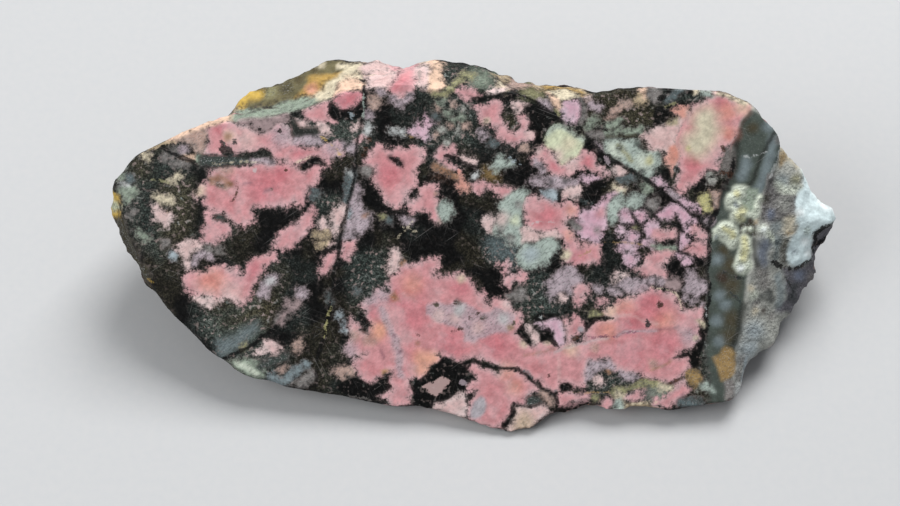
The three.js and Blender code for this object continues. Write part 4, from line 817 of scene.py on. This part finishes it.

# The black lines under the white chalcedony, from u 53.4, v -2.6 to u 64.3, v 3.8, are painted shadow in
# the gap under its ledge.
# The stroke of shade from u 50.2, v 1 down to v -3.8 is painted shade along the right edge of the cut.
RIGHT_END = """
mineral greygreen 48.2,9.8 50.5,10 50.6,7 50,6 48.6,6 48.2,7.5
mineral olive 47.4,4 50.4,4.2 50.6,2 47.6,1.8
stain umber spots 0.5 49.3,4.7 tint sand spots 0.5 50.5,4.6
tint cream 0.8 55.8,16.2 57.5,15.2 59.2,13.8 stain tan spots 0.5 55.2,16.2 55,14.6
tint tan spots 0.6 55.2,15.4
tint haze spots 1.2 55.1,11.6 tint moss spots 0.8 57.5,11.8 tint foam 1 54,10.4 55.5,9.9 57,9.9 58.5,9.4
mineral ash 52.6,12.6 53.6,12.8 53.6,11 54.2,9.6 58,8.7 57.6,5.8 54,4.3 52,4.4 51,6 51.4,8.4 52.4,10
tint pearl spots 1.3 55.6,7.6 tint denim spots 0.7 53.3,5.6 tint olive spots 0.9 52.3,8.4
tint shade spots 0.5 53.2,11.4
tint haze spots 1.1 54.2,3.4 53.6,1.2 tint cream spots 0.9 56.6,4.4 56.4,3
stain tan spots 0.35 56.3,2.1 57,1.8
tint denim 0.9 51.8,0.6 51.6,-1 51.8,-2.8 tint shade 0.5 50.2,1 50.1,-0.5 50.6,-3.8
tint steel 0.6 54,0.5 54,-2 tint olive 0.6 55.4,1 55.3,-1 55.6,-3
dark charcoal 0.12 54.4,2 55.3,1.2 56.3,0.7
mineral milk 58.3,14 59.3,13.6 62,8.7 63.2,8 63.5,7 64.5,6.5 65.4,5.5 65.3,4.3 63,4 60.5,1.7 60.5,-2.6
 58.5,-3.5 57,-3.4 56.3,-2.5 56.2,-1 56.3,0.5 57.5,1.5 58.2,3 57.8,4.5 58.3,5.5 57.8,6.5 57.7,8 58,9
 59,10.5 59.1,12
tint snow 0.6 60,12.6 62,8.9 64.3,6.4 65,5 tint snow spots 0.7 59.9,-1.6 59.4,0.6 58.4,6
tint mint spots 0.7 59.6,2.6 tint ice spots 0.6 57.6,-1
mineral basalt 60.6,0.3 61.3,1.8 63,3.2 65.5,3.6 64.5,0 63,-3 60.6,-2.7
mineral basalt 55.3,-4.2 59,-3.9 60.5,-2.9 64,-2.8 64,-12 54,-12 55,-10.5 56,-9.5 55.7,-7 56,-5.5
tint denim spots 0.9 58.2,-5.2 tint charcoal spots 0.9 57.3,-7.4 56.9,-9.2 tint grey spots 0.9 60.3,-5.6
dark black 0.35 60.7,-0.7 61.3,1.9 62.3,2.9 63.4,3.6 64.3,3.8 dark black 0.3 61.3,0.2 63.4,1.3
dark black 0.4 53.4,-2.6 55.2,-3.9 dark black 0.28 55.2,-3.9 56.5,-4.1 58,-3.8 60.4,-2.8
dark charcoal 0.12 55.9,-5.8 57.2,-8.2 56.6,-9.3 dark charcoal spots 0.35 61.1,-1.2 62,-2.1
tint grey spots 1.3 51.6,-4.8 52,-6.6 tint haze 0.7 54.7,-5.5 55,-8 54.6,-10.5
stain charcoal spots 0.8 52.8,-8.3 53,-9.6 tint charcoal spots 0.6 51.4,-9 tint foam spots 0.8 50,-8.8
tint cream spots 0.6 49.7,-7.5 50.2,-11.6 tint umber spots 0.6 51.8,-11.7
tint grey spots 0.7 53.3,-12.7 50.5,-10.3
tint ice spots 1.8 50.2,-15.5 49.3,-18.5 tint ash spots 1.2 48,-20.5 47.6,-23
tint ice 0.3 48.8,-20 47.9,-24.5
"""

ALL_MARKINGS = (
    BAND + RIGHT_END + CRUSTS + UPPER_LEFT + LOWER_LEFT + CENTRE_LEFT + UPPER_MIDDLE + TOP_MIDDLE
    + TOP_RIGHT + CENTRE_RIGHT + MOSAIC + LOWER_PINK + LOWER_LOBES + LOWER_RIGHT + MAIN_CRACK
)


def read_marks(text):
    """The markings that a text lists, each as a dictionary."""
    marks = []
    for word in text.split():
        if "," in word:
            marks[-1]["points"].append([float(number) for number in word.split(",")])
        elif word in LAYERS:
            marks.append({"layer": word, "reach": 0.0, "spots": False, "points": []})
        elif word in PALETTE:
            marks[-1]["colour"] = linear(PALETTE[word])
            marks[-1]["grain"] = GRAINY.get(word, SLIGHT_GRAIN)
        elif word == "spots":
            marks[-1]["spots"] = True
        else:
            marks[-1]["reach"] = float(word)
    return marks


def linear(colour):
    """A colour of the palette as linear light, from 0 to 1, by the curve that sRGB defines."""
    part = np.array(colour) / 255
    return np.where(part <= 0.04045, part / 12.92, ((part + 0.055) / 1.055) ** 2.4)


def smooth(value, low, high):
    """0 below low, 1 above high, and a smooth rise between them."""
    part = np.clip((value - low) / (high - low), 0, 1)
    return part * part * (3 - 2 * part)


def lattice_value(cell):
    """A fixed random number from 0 to 1 for each cell of a lattice."""
    mixed = (cell * CELL_FACTORS).sum(axis=1) & LOW_BITS
    mixed = (mixed ^ (mixed >> SCRAMBLE_SHIFTS[0])) * SCRAMBLE_FACTOR & LOW_BITS
    return (mixed ^ (mixed >> SCRAMBLE_SHIFTS[1])) % CELL_VALUES / (CELL_VALUES - 1)


def soft_noise(points, wavelength, seed):
    """Smooth noise from 0 to 1 at each point."""
    place = points / wavelength + seed * SEED_STEP
    cell = np.floor(place).astype(np.int64)
    part = place - cell
    part = part * part * (3 - 2 * part)
    total = np.zeros(len(points))
    for corner in itertools.product((0, 1), repeat=3):
        share = np.prod(np.where(corner, part, 1 - part), axis=1)
        total += share * lattice_value(cell + corner)
    return total


def rough_noise(points, wavelength, seed, octaves=3):
    """Noise from about 0 to 1 with finer and finer detail."""
    layers = [soft_noise(points, wavelength / 2**k, seed + k) / 2**k for k in range(octaves)]
    return sum(layers) / (2 - 2 / 2**octaves)


def distance_to_line(points, line):
    """How far each point is from a run of straight pieces."""
    nearest = np.full(len(points), np.inf)
    for start, end in zip(line[:-1], line[1:]):
        along = end - start
        share = np.clip((points - start) @ along / max(along @ along, TINY), 0, 1)
        gap = points - start - share[:, None] * along
        nearest = np.minimum(nearest, np.hypot(gap[:, 0], gap[:, 1]))
    return nearest


def inside(points, loop):
    """Whether each point is inside a closed loop."""
    odd = np.zeros(len(points), bool)
    for (x0, y0), (x1, y1) in zip(loop[:-1], loop[1:]):
        crosses = (y0 > points[:, 1]) != (y1 > points[:, 1])
        where = x0 + (points[:, 1] - y0) * (x1 - x0) / ((y1 - y0) or TINY)
        odd ^= crosses & (points[:, 0] < where)
    return odd


def depth_inside(points, mark):
    """How deep each point lies inside a marking, in millimetres. Outside it is negative."""
    shape = np.array(mark["points"])
    if mark["spots"]:
        gaps = [np.hypot(*(points - centre).T) for centre in shape]
        return mark["reach"] - np.min(gaps, axis=0)
    if mark["reach"]:
        line = shape if len(shape) > 1 else np.repeat(shape, 2, axis=0)
        return mark["reach"] - distance_to_line(points, line)
    loop = np.vstack([shape, shape[:1]])
    return distance_to_line(points, loop) * np.where(inside(points, loop), 1, -1)


def near(points, mark, margin):
    """The indices of the points that a marking may reach."""
    shape = np.array(mark["points"])
    low = shape.min(axis=0) - mark["reach"] - margin
    high = shape.max(axis=0) + mark["reach"] + margin
    return np.flatnonzero(((points > low) & (points < high)).all(axis=1))


def even_mesh(node):
    """The CAD stone in the face's frame, as an object with an even mesh."""
    shell = bmesh.new()
    shell.from_mesh(node.data)
    bmesh.ops.remove_doubles(shell, verts=shell.verts, dist=WELD)
    shell.transform(FACE_TO_WORLD.inverted())
    mesh = bpy.data.meshes.new("rhodonite")
    shell.to_mesh(mesh)
    shell.free()
    piece = bpy.data.objects.new("rhodonite", mesh)
    bpy.context.scene.collection.objects.link(piece)
    remesh = piece.modifiers.new("even", "REMESH")
    remesh.mode = "VOXEL"
    remesh.voxel_size = VOXEL
    graph = bpy.context.evaluated_depsgraph_get()
    even = bpy.data.meshes.new_from_object(piece.evaluated_get(graph))
    even.name = "rhodonite"
    piece.modifiers.clear()
    piece.data = even
    return piece


def refine_face(mesh):
    """Makes the sawn face flat, and twice as fine as the rest."""
    fine = bmesh.new()
    fine.from_mesh(mesh)
    for vert in fine.verts:
        if abs(vert.co.z) < FACE_SNAP:
            vert.co.z = 0
    flat = [face for face in fine.faces if all(vert.co.z == 0 for vert in face.verts)]
    edges = {edge for face in flat for edge in face.edges}
    bmesh.ops.subdivide_edges(fine, edges=list(edges), cuts=1, use_grid_fill=True)
    bmesh.ops.triangulate(fine, faces=[face for face in fine.faces if len(face.verts) > 4])
    fine.to_mesh(mesh)
    fine.free()


def read_points(mesh):
    """The mesh's points and their normals, as two arrays."""
    count = len(mesh.vertices)
    points = np.empty(count * 3)
    normals = np.empty(count * 3)
    mesh.vertices.foreach_get("co", points)
    mesh.vertices.foreach_get("normal", normals)
    return points.reshape(-1, 3), normals.reshape(-1, 3)


def seen_place(points):
    """Where each point appears on the face's plane, seen from the camera."""
    middle = np.array(VIEW_POINT)
    grow = VIEW_DISTANCE / (VIEW_DISTANCE - points[:, 2])
    return middle + (points[:, :2] - middle) * grow[:, None]


def even_normals(mesh, normals):
    """The normals, evened out among neighbours, so that sharp edges don't tear when they are moved."""
    ends = np.empty(len(mesh.edges) * 2, np.int32)
    mesh.edges.foreach_get("vertices", ends)
    ends = ends.reshape(-1, 2)
    for _ in range(NORMAL_ROUNDS):
        total = normals.copy()
        np.add.at(total, ends[:, 0], normals[ends[:, 1]])
        np.add.at(total, ends[:, 1], normals[ends[:, 0]])
        normals = total / np.linalg.norm(total, axis=1, keepdims=True)
    return normals


def roughen(points, normals):
    """Breaks up the surface of the rock behind the sawn face."""
    depth = np.zeros(len(points))
    for k, (wavelength, deep) in enumerate(ROCK_RELIEF):
        crest = 1 - np.abs(2 * rough_noise(points, wavelength, RELIEF_SEED + k, RELIEF_OCTAVES) - 1)
        depth += deep * (smooth(crest, *RELIEF_CRESTS) - RELIEF_MIDDLE)
    depth *= smooth(-points[:, 2], RELIEF_STARTS, RELIEF_FULL)
    return points - normals * depth[:, None]


def raise_crusts(points, polish):
    """Lifts the knobbly crusts on the right of the sawn face, and takes their polish away."""
    places = seen_place(points)
    front = np.abs(points[:, 2]) < CRUST_REACH
    for mark in read_marks(CRUSTS):
        if mark["layer"] != "mineral":
            continue
        reached = near(places, mark, 0)
        reached = reached[front[reached]]
        knobs = smooth(rough_noise(points[reached], CRUST_KNOB, CRUST_SEED, CRUST_OCTAVES), *CRUST_KNOBS)
        edge = smooth(depth_inside(places[reached], mark), *CRUST_EDGE)
        rise = edge * (CRUST_LOW + (1 - CRUST_LOW) * knobs)
        points[reached, 2] = np.maximum(points[reached, 2], CRUST_HEIGHT * rise)
        polish[reached] = np.minimum(polish[reached], 1 - smooth(rise, 0, CRUST_MATT))
    return points


def layer_fields(count):
    """Empty colour and depth for each layer of the painting."""
    return {
        "ground": np.zeros((count, 3)),
        "mineral": np.zeros((count, 3)),
        "grainy": np.zeros(count),
        "dark": np.zeros((count, 3)) + linear(PALETTE["black"]),
        "light": np.zeros((count, 3)) + linear(PALETTE["cream"]),
        "mineral_depth": np.full(count, -FAR),
        "dark_depth": np.full(count, -FAR),
        "light_depth": np.full(count, -FAR),
    }


def blend(values, indices, value, share):
    """Mixes a value into some of the points' values."""
    share = share if values.ndim == 1 else share[:, None]
    values[indices] = values[indices] * (1 - share) + value * share


def blend_mineral(fields, indices, mark, share):
    """Mixes a marking's colour and grain into some of the points."""
    blend(fields["mineral"], indices, mark["colour"], share)
    blend(fields["grainy"], indices, mark["grain"], share)


def add_clouds(target, points, clouds, cover):
    """Mixes clouds of colour into every point's colour."""
    everyone = np.arange(len(points))
    for name, wavelength, seed, low, high in clouds:
        share = cover * smooth(rough_noise(points, wavelength, seed), low, high)
        blend(target, everyone, linear(PALETTE[name]), share)


def paint_ground(fields, points):
    """The dark manganese oxides between the minerals: black, with slate and olive clouds."""
    fields["ground"][:] = linear(PALETTE["black"])
    add_clouds(fields["ground"], points, GROUND_CLOUDS, GROUND_CLOUD_COVER)


def paint_mineral(fields, reached, mark, depth):
    """Lays a patch of mineral, with a soft border where it meets another."""
    known = fields["mineral_depth"]
    depth = depth + GROW
    share = smooth(depth - np.minimum(known[reached], 0), -MELT, MELT)
    blend_mineral(fields, reached, mark, share)
    known[reached] = np.maximum(known[reached], depth)


def paint_inclusion(fields, reached, mark, depth):
    """Lays a dark or light vein or spot over the minerals, and the dark lines of painted shadow under a
    ledge.
    """
    known = fields[mark["layer"] + "_depth"]
    deeper = depth > known[reached]
    fields[mark["layer"]][reached[deeper]] = mark["colour"]
    known[reached[deeper]] = depth[deeper]


def paint_face(fields, places):
    """Lays the markings of the sawn face, in order, at the places where the camera sees the points."""
    for mark in read_marks(ALL_MARKINGS):
        reached = near(places, mark, MARGIN)
        if not len(reached):
            continue
        depth = depth_inside(places[reached], mark)
        fade = TINT_FADE * mark["reach"]
        if mark["layer"] == "ground":
            blend(fields["ground"], reached, mark["colour"], GROUND_COVER * smooth(depth, *GROUND_FADE))
        elif mark["layer"] == "stain":
            blend_mineral(fields, reached, mark, TINT_COVER * smooth(depth, -STAIN_FADE, STAIN_FADE))
        elif mark["layer"] == "tint":
            blend_mineral(fields, reached, mark, TINT_COVER * smooth(depth, -fade, fade))
        elif mark["layer"] == "mineral":
            paint_mineral(fields, reached, mark, depth)
        else:
            paint_inclusion(fields, reached, mark, depth)


def rock_depth(points, wavelength, seed, border, gain):
    """Depth inside the patches that a noise makes."""
    return (rough_noise(points, wavelength, seed, ROCK_OCTAVES) - border) * gain


def rock_fields(points):
    """The weathered rock of the back and sides: brown-black rind over duller pink, with ochre stains."""
    fields = layer_fields(len(points))
    fields["ground"][:] = linear(PALETTE["charcoal"])
    fields["mineral"][:] = linear(PALETTE["dusty"])
    fields["light"][:] = linear(PALETTE["tan"])
    for layer, *cloud in ROCK_CLOUDS:
        add_clouds(fields[layer], points, [cloud], 1)
    fields["grainy"][:] = ROCK_GRAIN
    fields["mineral_depth"] = rock_depth(points, *ROCK_PATCHES)
    fields["dark_depth"] = SEAM_HALF_WIDTH - np.abs(rock_depth(points, *ROCK_SEAMS))
    fields["light_depth"] = rock_depth(points, *ROCK_SPOTS)
    return fields


def sideways(noise, points, wavelength, seed):
    """A shift of each point in the face's plane, from -0.5 to 0.5 each way."""
    return np.array([noise(points, wavelength, seed + k) - NOISE_MIDDLE for k in range(2)]).T


def painted_places(points, flat, normals):
    """Where each point is looked up among the markings, so that their borders sway."""
    places = seen_place(points)
    for wavelength, sway, seed in SWAY:
        places = places + sway * sideways(soft_noise, flat, wavelength, seed)
    steep = smooth(normals[:, 2], *WANDER_SLOPE) * smooth(points[:, 2], *WANDER_DEPTH)
    return places + WANDER * sideways(rough_noise, points, WANDER_SIZE, WANDER_SEED) * steep[:, None]


def paint(points, normals):
    """Every point's colours and depths: markings where the photograph shows the stone, rock elsewhere."""
    flat = points * np.array([1, 1, SWAY_FLATTEN])
    face = layer_fields(len(points))
    paint_ground(face, flat)
    paint_face(face, painted_places(points, flat, normals))
    rock = rock_fields(points)
    seen = smooth(normals[:, 2], *SEEN_SLOPE) * smooth(points[:, 2], *SEEN_DEPTH)
    for name in face:
        share = seen if face[name].ndim == 1 else seen[:, None]
        face[name] = face[name] * share + rock[name] * (1 - share)
    face["polish"] = smooth(points[:, 2], *POLISH_DEPTH)
    face["place"] = points
    return face


def store(mesh, fields):
    """Keeps the fields on the mesh, where the material reads them."""
    for name, values in fields.items():
        if values.ndim == 1:
            attribute = mesh.attributes.new(name, "FLOAT", "POINT")
            attribute.data.foreach_set("value", values.astype(np.float32))
        elif name == "place":
            attribute = mesh.attributes.new(name, "FLOAT_VECTOR", "POINT")
            attribute.data.foreach_set("vector", values.astype(np.float32).ravel())
        else:
            attribute = mesh.attributes.new(name, "FLOAT_COLOR", "POINT")
            rows = np.hstack([values, np.ones((len(values), 1))]).astype(np.float32)
            attribute.data.foreach_set("color", rows.ravel())


class Nodes:
    """Short calls that add linked shader nodes to one material."""

    def __init__(self, name):
        self.material = bpy.data.materials.new(name)
        self.material.use_nodes = True
        self.tree = self.material.node_tree
        self.tree.nodes.clear()

    def add(self, kind, **settings):
        node = self.tree.nodes.new(kind)
        for name, value in settings.items():
            setattr(node, name, value)
        return node

    def put(self, socket, value):
        if isinstance(value, bpy.types.NodeSocket):
            self.tree.links.new(value, socket)
        else:
            socket.default_value = value

    def math(self, operation, *values):
        node = self.add("ShaderNodeMath", operation=operation)
        for socket, value in zip(node.inputs, values):
            self.put(socket, value)
        return node.outputs[0]

    def product(self, first, *others):
        for other in others:
            first = self.math("MULTIPLY", first, other)
        return first

    def total(self, first, *others):
        for other in others:
            first = self.math("ADD", first, other)
        return first

    def ramp(self, value, low, high, out_low=0.0, out_high=1.0):
        node = self.add("ShaderNodeMapRange", interpolation_type="SMOOTHSTEP")
        names = ("Value", "From Min", "From Max", "To Min", "To Max")
        for name, number in zip(names, (value, low, high, out_low, out_high)):
            self.put(node.inputs[name], number)
        return node.outputs["Result"]

    def mix(self, share, low, high, blend_type="MIX"):
        node = self.add("ShaderNodeMix", data_type="RGBA", blend_type=blend_type)
        self.put(node.inputs["Factor"], share)
        self.put(node.inputs[MIX_LOW], low)
        self.put(node.inputs[MIX_HIGH], high)
        return node.outputs[MIX_RESULT]

    def scaled(self, colour, level):
        """A colour times a number."""
        grey = self.add("ShaderNodeCombineColor")
        for socket in grey.inputs:
            self.put(socket, level)
        return self.mix(1.0, colour, grey.outputs[0], "MULTIPLY")

    def noise(self, place, size, detail=3.0):
        """Noise whose grains are about size across, in the units of place."""
        node = self.add("ShaderNodeTexNoise")
        self.put(node.inputs["Vector"], place)
        node.inputs["Scale"].default_value = 1 / size
        node.inputs["Detail"].default_value = detail
        return node.outputs["Fac"]

    def stretched(self, place, turn, longer):
        """The place turned by some degrees in the face's plane, and then squeezed along the new X axis."""
        mapping = self.add("ShaderNodeMapping", vector_type="TEXTURE")
        self.put(mapping.inputs["Vector"], place)
        mapping.inputs["Rotation"].default_value = (0, 0, math.radians(turn))
        mapping.inputs["Scale"].default_value = (longer, 1, 1)
        return mapping.outputs[0]

    def attribute(self, name):
        return self.add("ShaderNodeAttribute", attribute_name=name)

    def field(self, name):
        return self.attribute(name).outputs["Fac"]

    def colour(self, name):
        return self.attribute(name).outputs["Color"]

    def finish(self, shader):
        """Sends a shader to the surface, and gives the material."""
        output = self.add("ShaderNodeOutputMaterial")
        self.put(output.inputs["Surface"], shader.outputs[0])
        return self.material


class Stone(Nodes):
    """Rhodonite: grainy pinks in black oxide, semi-matte where it is sawn and matt where it is broken."""

    def __init__(self):
        super().__init__("rhodonite")
        self.place = self.attribute("place").outputs["Vector"]
        self.fine = self.noise(self.place, *FINE)
        self.grain = self.noise(self.place, *GRAIN)
        self.coarse = self.noise(self.place, *COARSE)
        self.cloud = self.noise(self.place, *CLOUD)
        self.fleck = self.noise(self.place, *FLECK)
        self.streak = self.noise(self.stretched(self.place, STREAK_TURN, STREAK_LENGTH), *STREAK)
        self.polish = self.field("polish")
        self.grainy = self.field("grainy")
        self.depth = self.field("mineral_depth")
        self.rosy = self.rosiness()
        self.grains = self.product(
            self.ramp(self.fine, *OXIDE_FINE),
            self.ramp(self.grain, *OXIDE_GRAIN),
            self.ramp(self.cloud, *OXIDE_CLOUD),
        )
        self.fleck_colour = self.mix(self.ramp(self.coarse, *FLECK_COLOURS), FLECK_GREEN, FLECK_ROSE)
        self.shake = self.total(
            self.ramp(self.grain, *SHAKE_GRAIN),
            self.ramp(self.fine, *SHAKE_FINE),
            self.ramp(self.coarse, *SHAKE_COARSE),
        )

    def rosiness(self):
        """1 where the mineral is clearly pink, and 0 where it is grey, green, yellow or ochre."""
        node = self.add("ShaderNodeSeparateColor")
        self.put(node.inputs[0], self.colour("mineral"))
        red, green, blue = node.outputs
        redder = self.math("SUBTRACT", red, green)
        bluer = self.math("SUBTRACT", blue, green)
        return self.product(self.ramp(redder, *ROSY_RED), self.ramp(bluer, *ROSY_BLUE))

    def ground_glow(self):
        """How bright the ground's stored colour is."""
        node = self.add("ShaderNodeRGBToBW")
        self.put(node.inputs[0], self.colour("ground"))
        return node.outputs[0]

    def ground(self):
        """Dark oxides, with paler grains and flecks that gather in clouds where they aren't black."""
        glow = self.ground_glow()
        even = self.ramp(glow, *EVEN_GROUND)
        calm = self.ramp(self.streak, *EVEN_STREAKS)
        ground = self.scaled(self.colour("ground"), self.ramp(even, 0, 1, self.grains, calm))
        flecks = self.product(
            self.ramp(self.fleck, *FLECK_SHAPE),
            self.ramp(glow, *FLECK_FROM_BLACK),
            self.ramp(glow, *FLECK_TO_GREY),
            self.ramp(self.cloud, *FLECK_CLOUD),
        )
        return self.mix(flecks, ground, self.fleck_colour)

    def mineral(self):
        """Mottled minerals. The pinks have pale and deep clouds, and are greyer at their edges."""
        mottle = self.product(self.ramp(self.coarse, *MOTTLE_COARSE), self.ramp(self.grain, *MOTTLE_GRAIN))
        mineral = self.scaled(self.colour("mineral"), mottle)
        pale = self.product(self.ramp(self.cloud, *PALE_CLOUD), self.rosy)
        mineral = self.mix(pale, mineral, SCREEN_PALE, "SCREEN")
        deep = self.product(self.ramp(self.noise(self.place, *DEEP), *DEEP_CLOUD), self.rosy)
        mineral = self.mix(deep, mineral, MULTIPLY_DEEP, "MULTIPLY")
        edge = self.product(self.ramp(self.depth, *PALE_EDGE), self.rosy)
        return self.mix(edge, mineral, SCREEN_EDGE, "SCREEN")

    def sprinkled(self, mineral):
        """The minerals with their dark and white grains."""
        dark_share = self.math("MULTIPLY_ADD", self.grainy, *DARK_GRAINS)
        dark = self.product(self.ramp(self.streak, *DARK_GRAIN), dark_share)
        white_share = self.math("MULTIPLY_ADD", self.grainy, *WHITE_GRAINS)
        white = self.product(self.ramp(self.fine, *WHITE_GRAIN), white_share)
        return self.mix(white, self.mix(dark, mineral, GRAIN_DARK), GRAIN_WHITE)

    def joined(self, ground, mineral):
        """Ground and minerals with ragged borders: the depth is shaken by noise before it is cut off."""
        shaken = self.total(self.depth, self.shake)
        crack = self.math("SUBTRACT", self.noise(self.place, *CRACK), NOISE_MIDDLE)
        crack_depth = self.ramp(self.rosy, *CRACK_DEPTH)
        crack = self.ramp(self.math("ABSOLUTE", crack), *CRACK_WIDTH, crack_depth, 0)
        shaken = self.math("SUBTRACT", shaken, crack)
        dust = self.product(self.ramp(shaken, *DUST_REACH), self.ramp(self.fleck, *DUST_FLECK))
        softness = self.ramp(self.rosy, *BORDER_SOFTNESS)
        shown = self.ramp(shaken, self.product(softness, -1), softness)
        return self.mix(shown, self.mix(dust, ground, DUST), mineral)

    def with_inclusions(self, colour):
        """The colour with its dark and light veins and spots, and its dark lines of painted shadow under a
        ledge.
        """
        shake = self.product(self.shake, INCLUSION_SHAKE)
        dark = self.ramp(self.total(self.field("dark_depth"), shake), *DARK_BORDER)
        inclusion = self.scaled(self.colour("dark"), self.grains)
        inclusion = self.mix(self.ramp(self.fleck, *DARK_FLECK), inclusion, self.fleck_colour)
        colour = self.mix(self.product(dark, DARK_COVER), colour, inclusion)
        light = self.ramp(self.total(self.field("light_depth"), shake), *LIGHT_BORDER)
        return self.mix(self.product(light, LIGHT_COVER), colour, self.colour("light"))

    def scratched(self, colour):
        """The colour with fine pale saw scratches on the cut."""
        for turn, share in SCRATCHES:
            line = self.noise(self.stretched(self.place, turn, SCRATCH_LENGTH), *SCRATCH_NOISE)
            shape = self.ramp(line, *SCRATCH_SHAPE)
            scratch = self.product(shape, share, self.polish, self.ramp(self.cloud, *SCRATCH_CLOUD))
            colour = self.mix(scratch, colour, SCRATCH_PALE)
        return colour

    def roughness(self):
        return self.total(self.ramp(self.grain, *ROUGH_GRAIN), self.ramp(self.polish, *ROUGH_BREAK))

    def bump(self):
        bump = self.add("ShaderNodeBump")
        bump.inputs["Distance"].default_value = BUMP_HEIGHT
        strength = self.product(self.ramp(self.polish, *BUMP_BREAK), self.ramp(self.grainy, *BUMP_GRAINY))
        self.put(bump.inputs["Strength"], strength)
        self.put(bump.inputs["Height"], self.total(self.grain, self.product(self.coarse, BUMP_COARSE)))
        return bump.outputs[0]

    def make(self):
        """The finished material."""
        colour = self.joined(self.ground(), self.sprinkled(self.mineral()))
        colour = self.scratched(self.with_inclusions(colour))
        shader = self.add("ShaderNodeBsdfPrincipled")
        self.put(shader.inputs["Base Color"], colour)
        self.put(shader.inputs["Roughness"], self.roughness())
        self.put(shader.inputs["Normal"], self.bump())
        shader.inputs["Specular IOR Level"].default_value = SPECULAR
        return self.finish(shader)


def hold_inside(mesh):
    """Keeps the rough surface inside the CAD box and above the ground."""
    points, _ = read_points(mesh)
    low, high = (np.array(corner) for corner in cad_box)
    mesh.vertices.foreach_set("co", np.clip(points, low, high).ravel())
    mesh.update()


def make_stone():
    """The finished stone, in place of the CAD solid."""
    piece = even_mesh(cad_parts["rhodonite_stone"])
    mesh = piece.data
    refine_face(mesh)
    points, normals = read_points(mesh)
    fields = paint(points, normals)
    points = roughen(points, even_normals(mesh, normals))
    points = raise_crusts(points, fields["polish"])
    mesh.vertices.foreach_set("co", points.ravel())
    mesh.transform(FACE_TO_WORLD)
    hold_inside(mesh)
    store(mesh, fields)
    mesh.materials.clear()
    mesh.materials.append(Stone().make())
    mesh.shade_smooth()
    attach(piece, "root")
    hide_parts("rhodonite_stone")


def floor_material():
    """Pale matt paper."""
    nodes = Nodes("floor")
    place = nodes.add("ShaderNodeTexCoord").outputs["Object"]
    shader = nodes.add("ShaderNodeBsdfPrincipled")
    nodes.put(shader.inputs["Base Color"], nodes.mix(nodes.noise(place, FLOOR_GRAIN), *FLOOR_COLOURS))
    shader.inputs["Roughness"].default_value = FLOOR_ROUGHNESS
    return nodes.finish(shader)


def make_floor():
    """A plain pale floor."""
    signs = [(-1, -1), (1, -1), (1, 1), (-1, 1)]
    corners = [(x * FLOOR_HALF, y * FLOOR_HALF, 0) for x, y in signs]
    mesh = bpy.data.meshes.new("floor")
    mesh.from_pydata(corners, [], [(0, 1, 2, 3)])
    mesh.materials.append(floor_material())
    floor = bpy.data.objects.new("floor", mesh)
    bpy.context.scene.collection.objects.link(floor)


def make_camera():
    """The photograph's view: straight at the sawn face."""
    data = bpy.data.cameras.new("camera")
    data.lens = LENS
    data.sensor_width = SENSOR
    camera = bpy.data.objects.new("camera", data)
    bpy.context.scene.collection.objects.link(camera)
    camera.location = FACE_TO_WORLD @ Vector((*VIEW_POINT, VIEW_DISTANCE))
    out = (FACE_TO_WORLD.to_3x3() @ Vector((0, 0, 1))).normalized()
    camera.rotation_euler = (-out).to_track_quat("-Z", "Y").to_euler()
    bpy.context.scene.camera = camera


def make_light(name, place, size, power):
    """A square soft light that faces the stone."""
    data = bpy.data.lights.new(name, "AREA")
    data.size = size
    data.energy = power
    light = bpy.data.objects.new(name, data)
    bpy.context.scene.collection.objects.link(light)
    light.location = place
    light.rotation_euler = (LIGHT_AIM - Vector(place)).to_track_quat("-Z", "Y").to_euler()


def make_lights():
    """Soft daylight from above and behind, a weaker light from the left, and an even fill."""
    world = bpy.data.worlds.new("fill")
    world.use_nodes = True
    back = world.node_tree.nodes["Background"]
    back.inputs["Color"].default_value = FILL_COLOUR
    back.inputs["Strength"].default_value = FILL_STRENGTH
    bpy.context.scene.world = world
    make_light("key", *KEY_LIGHT)
    make_light("side", *SIDE_LIGHT)
    bpy.context.scene.view_settings.view_transform = "Standard"


make_camera()
make_lights()
make_floor()
make_stone()
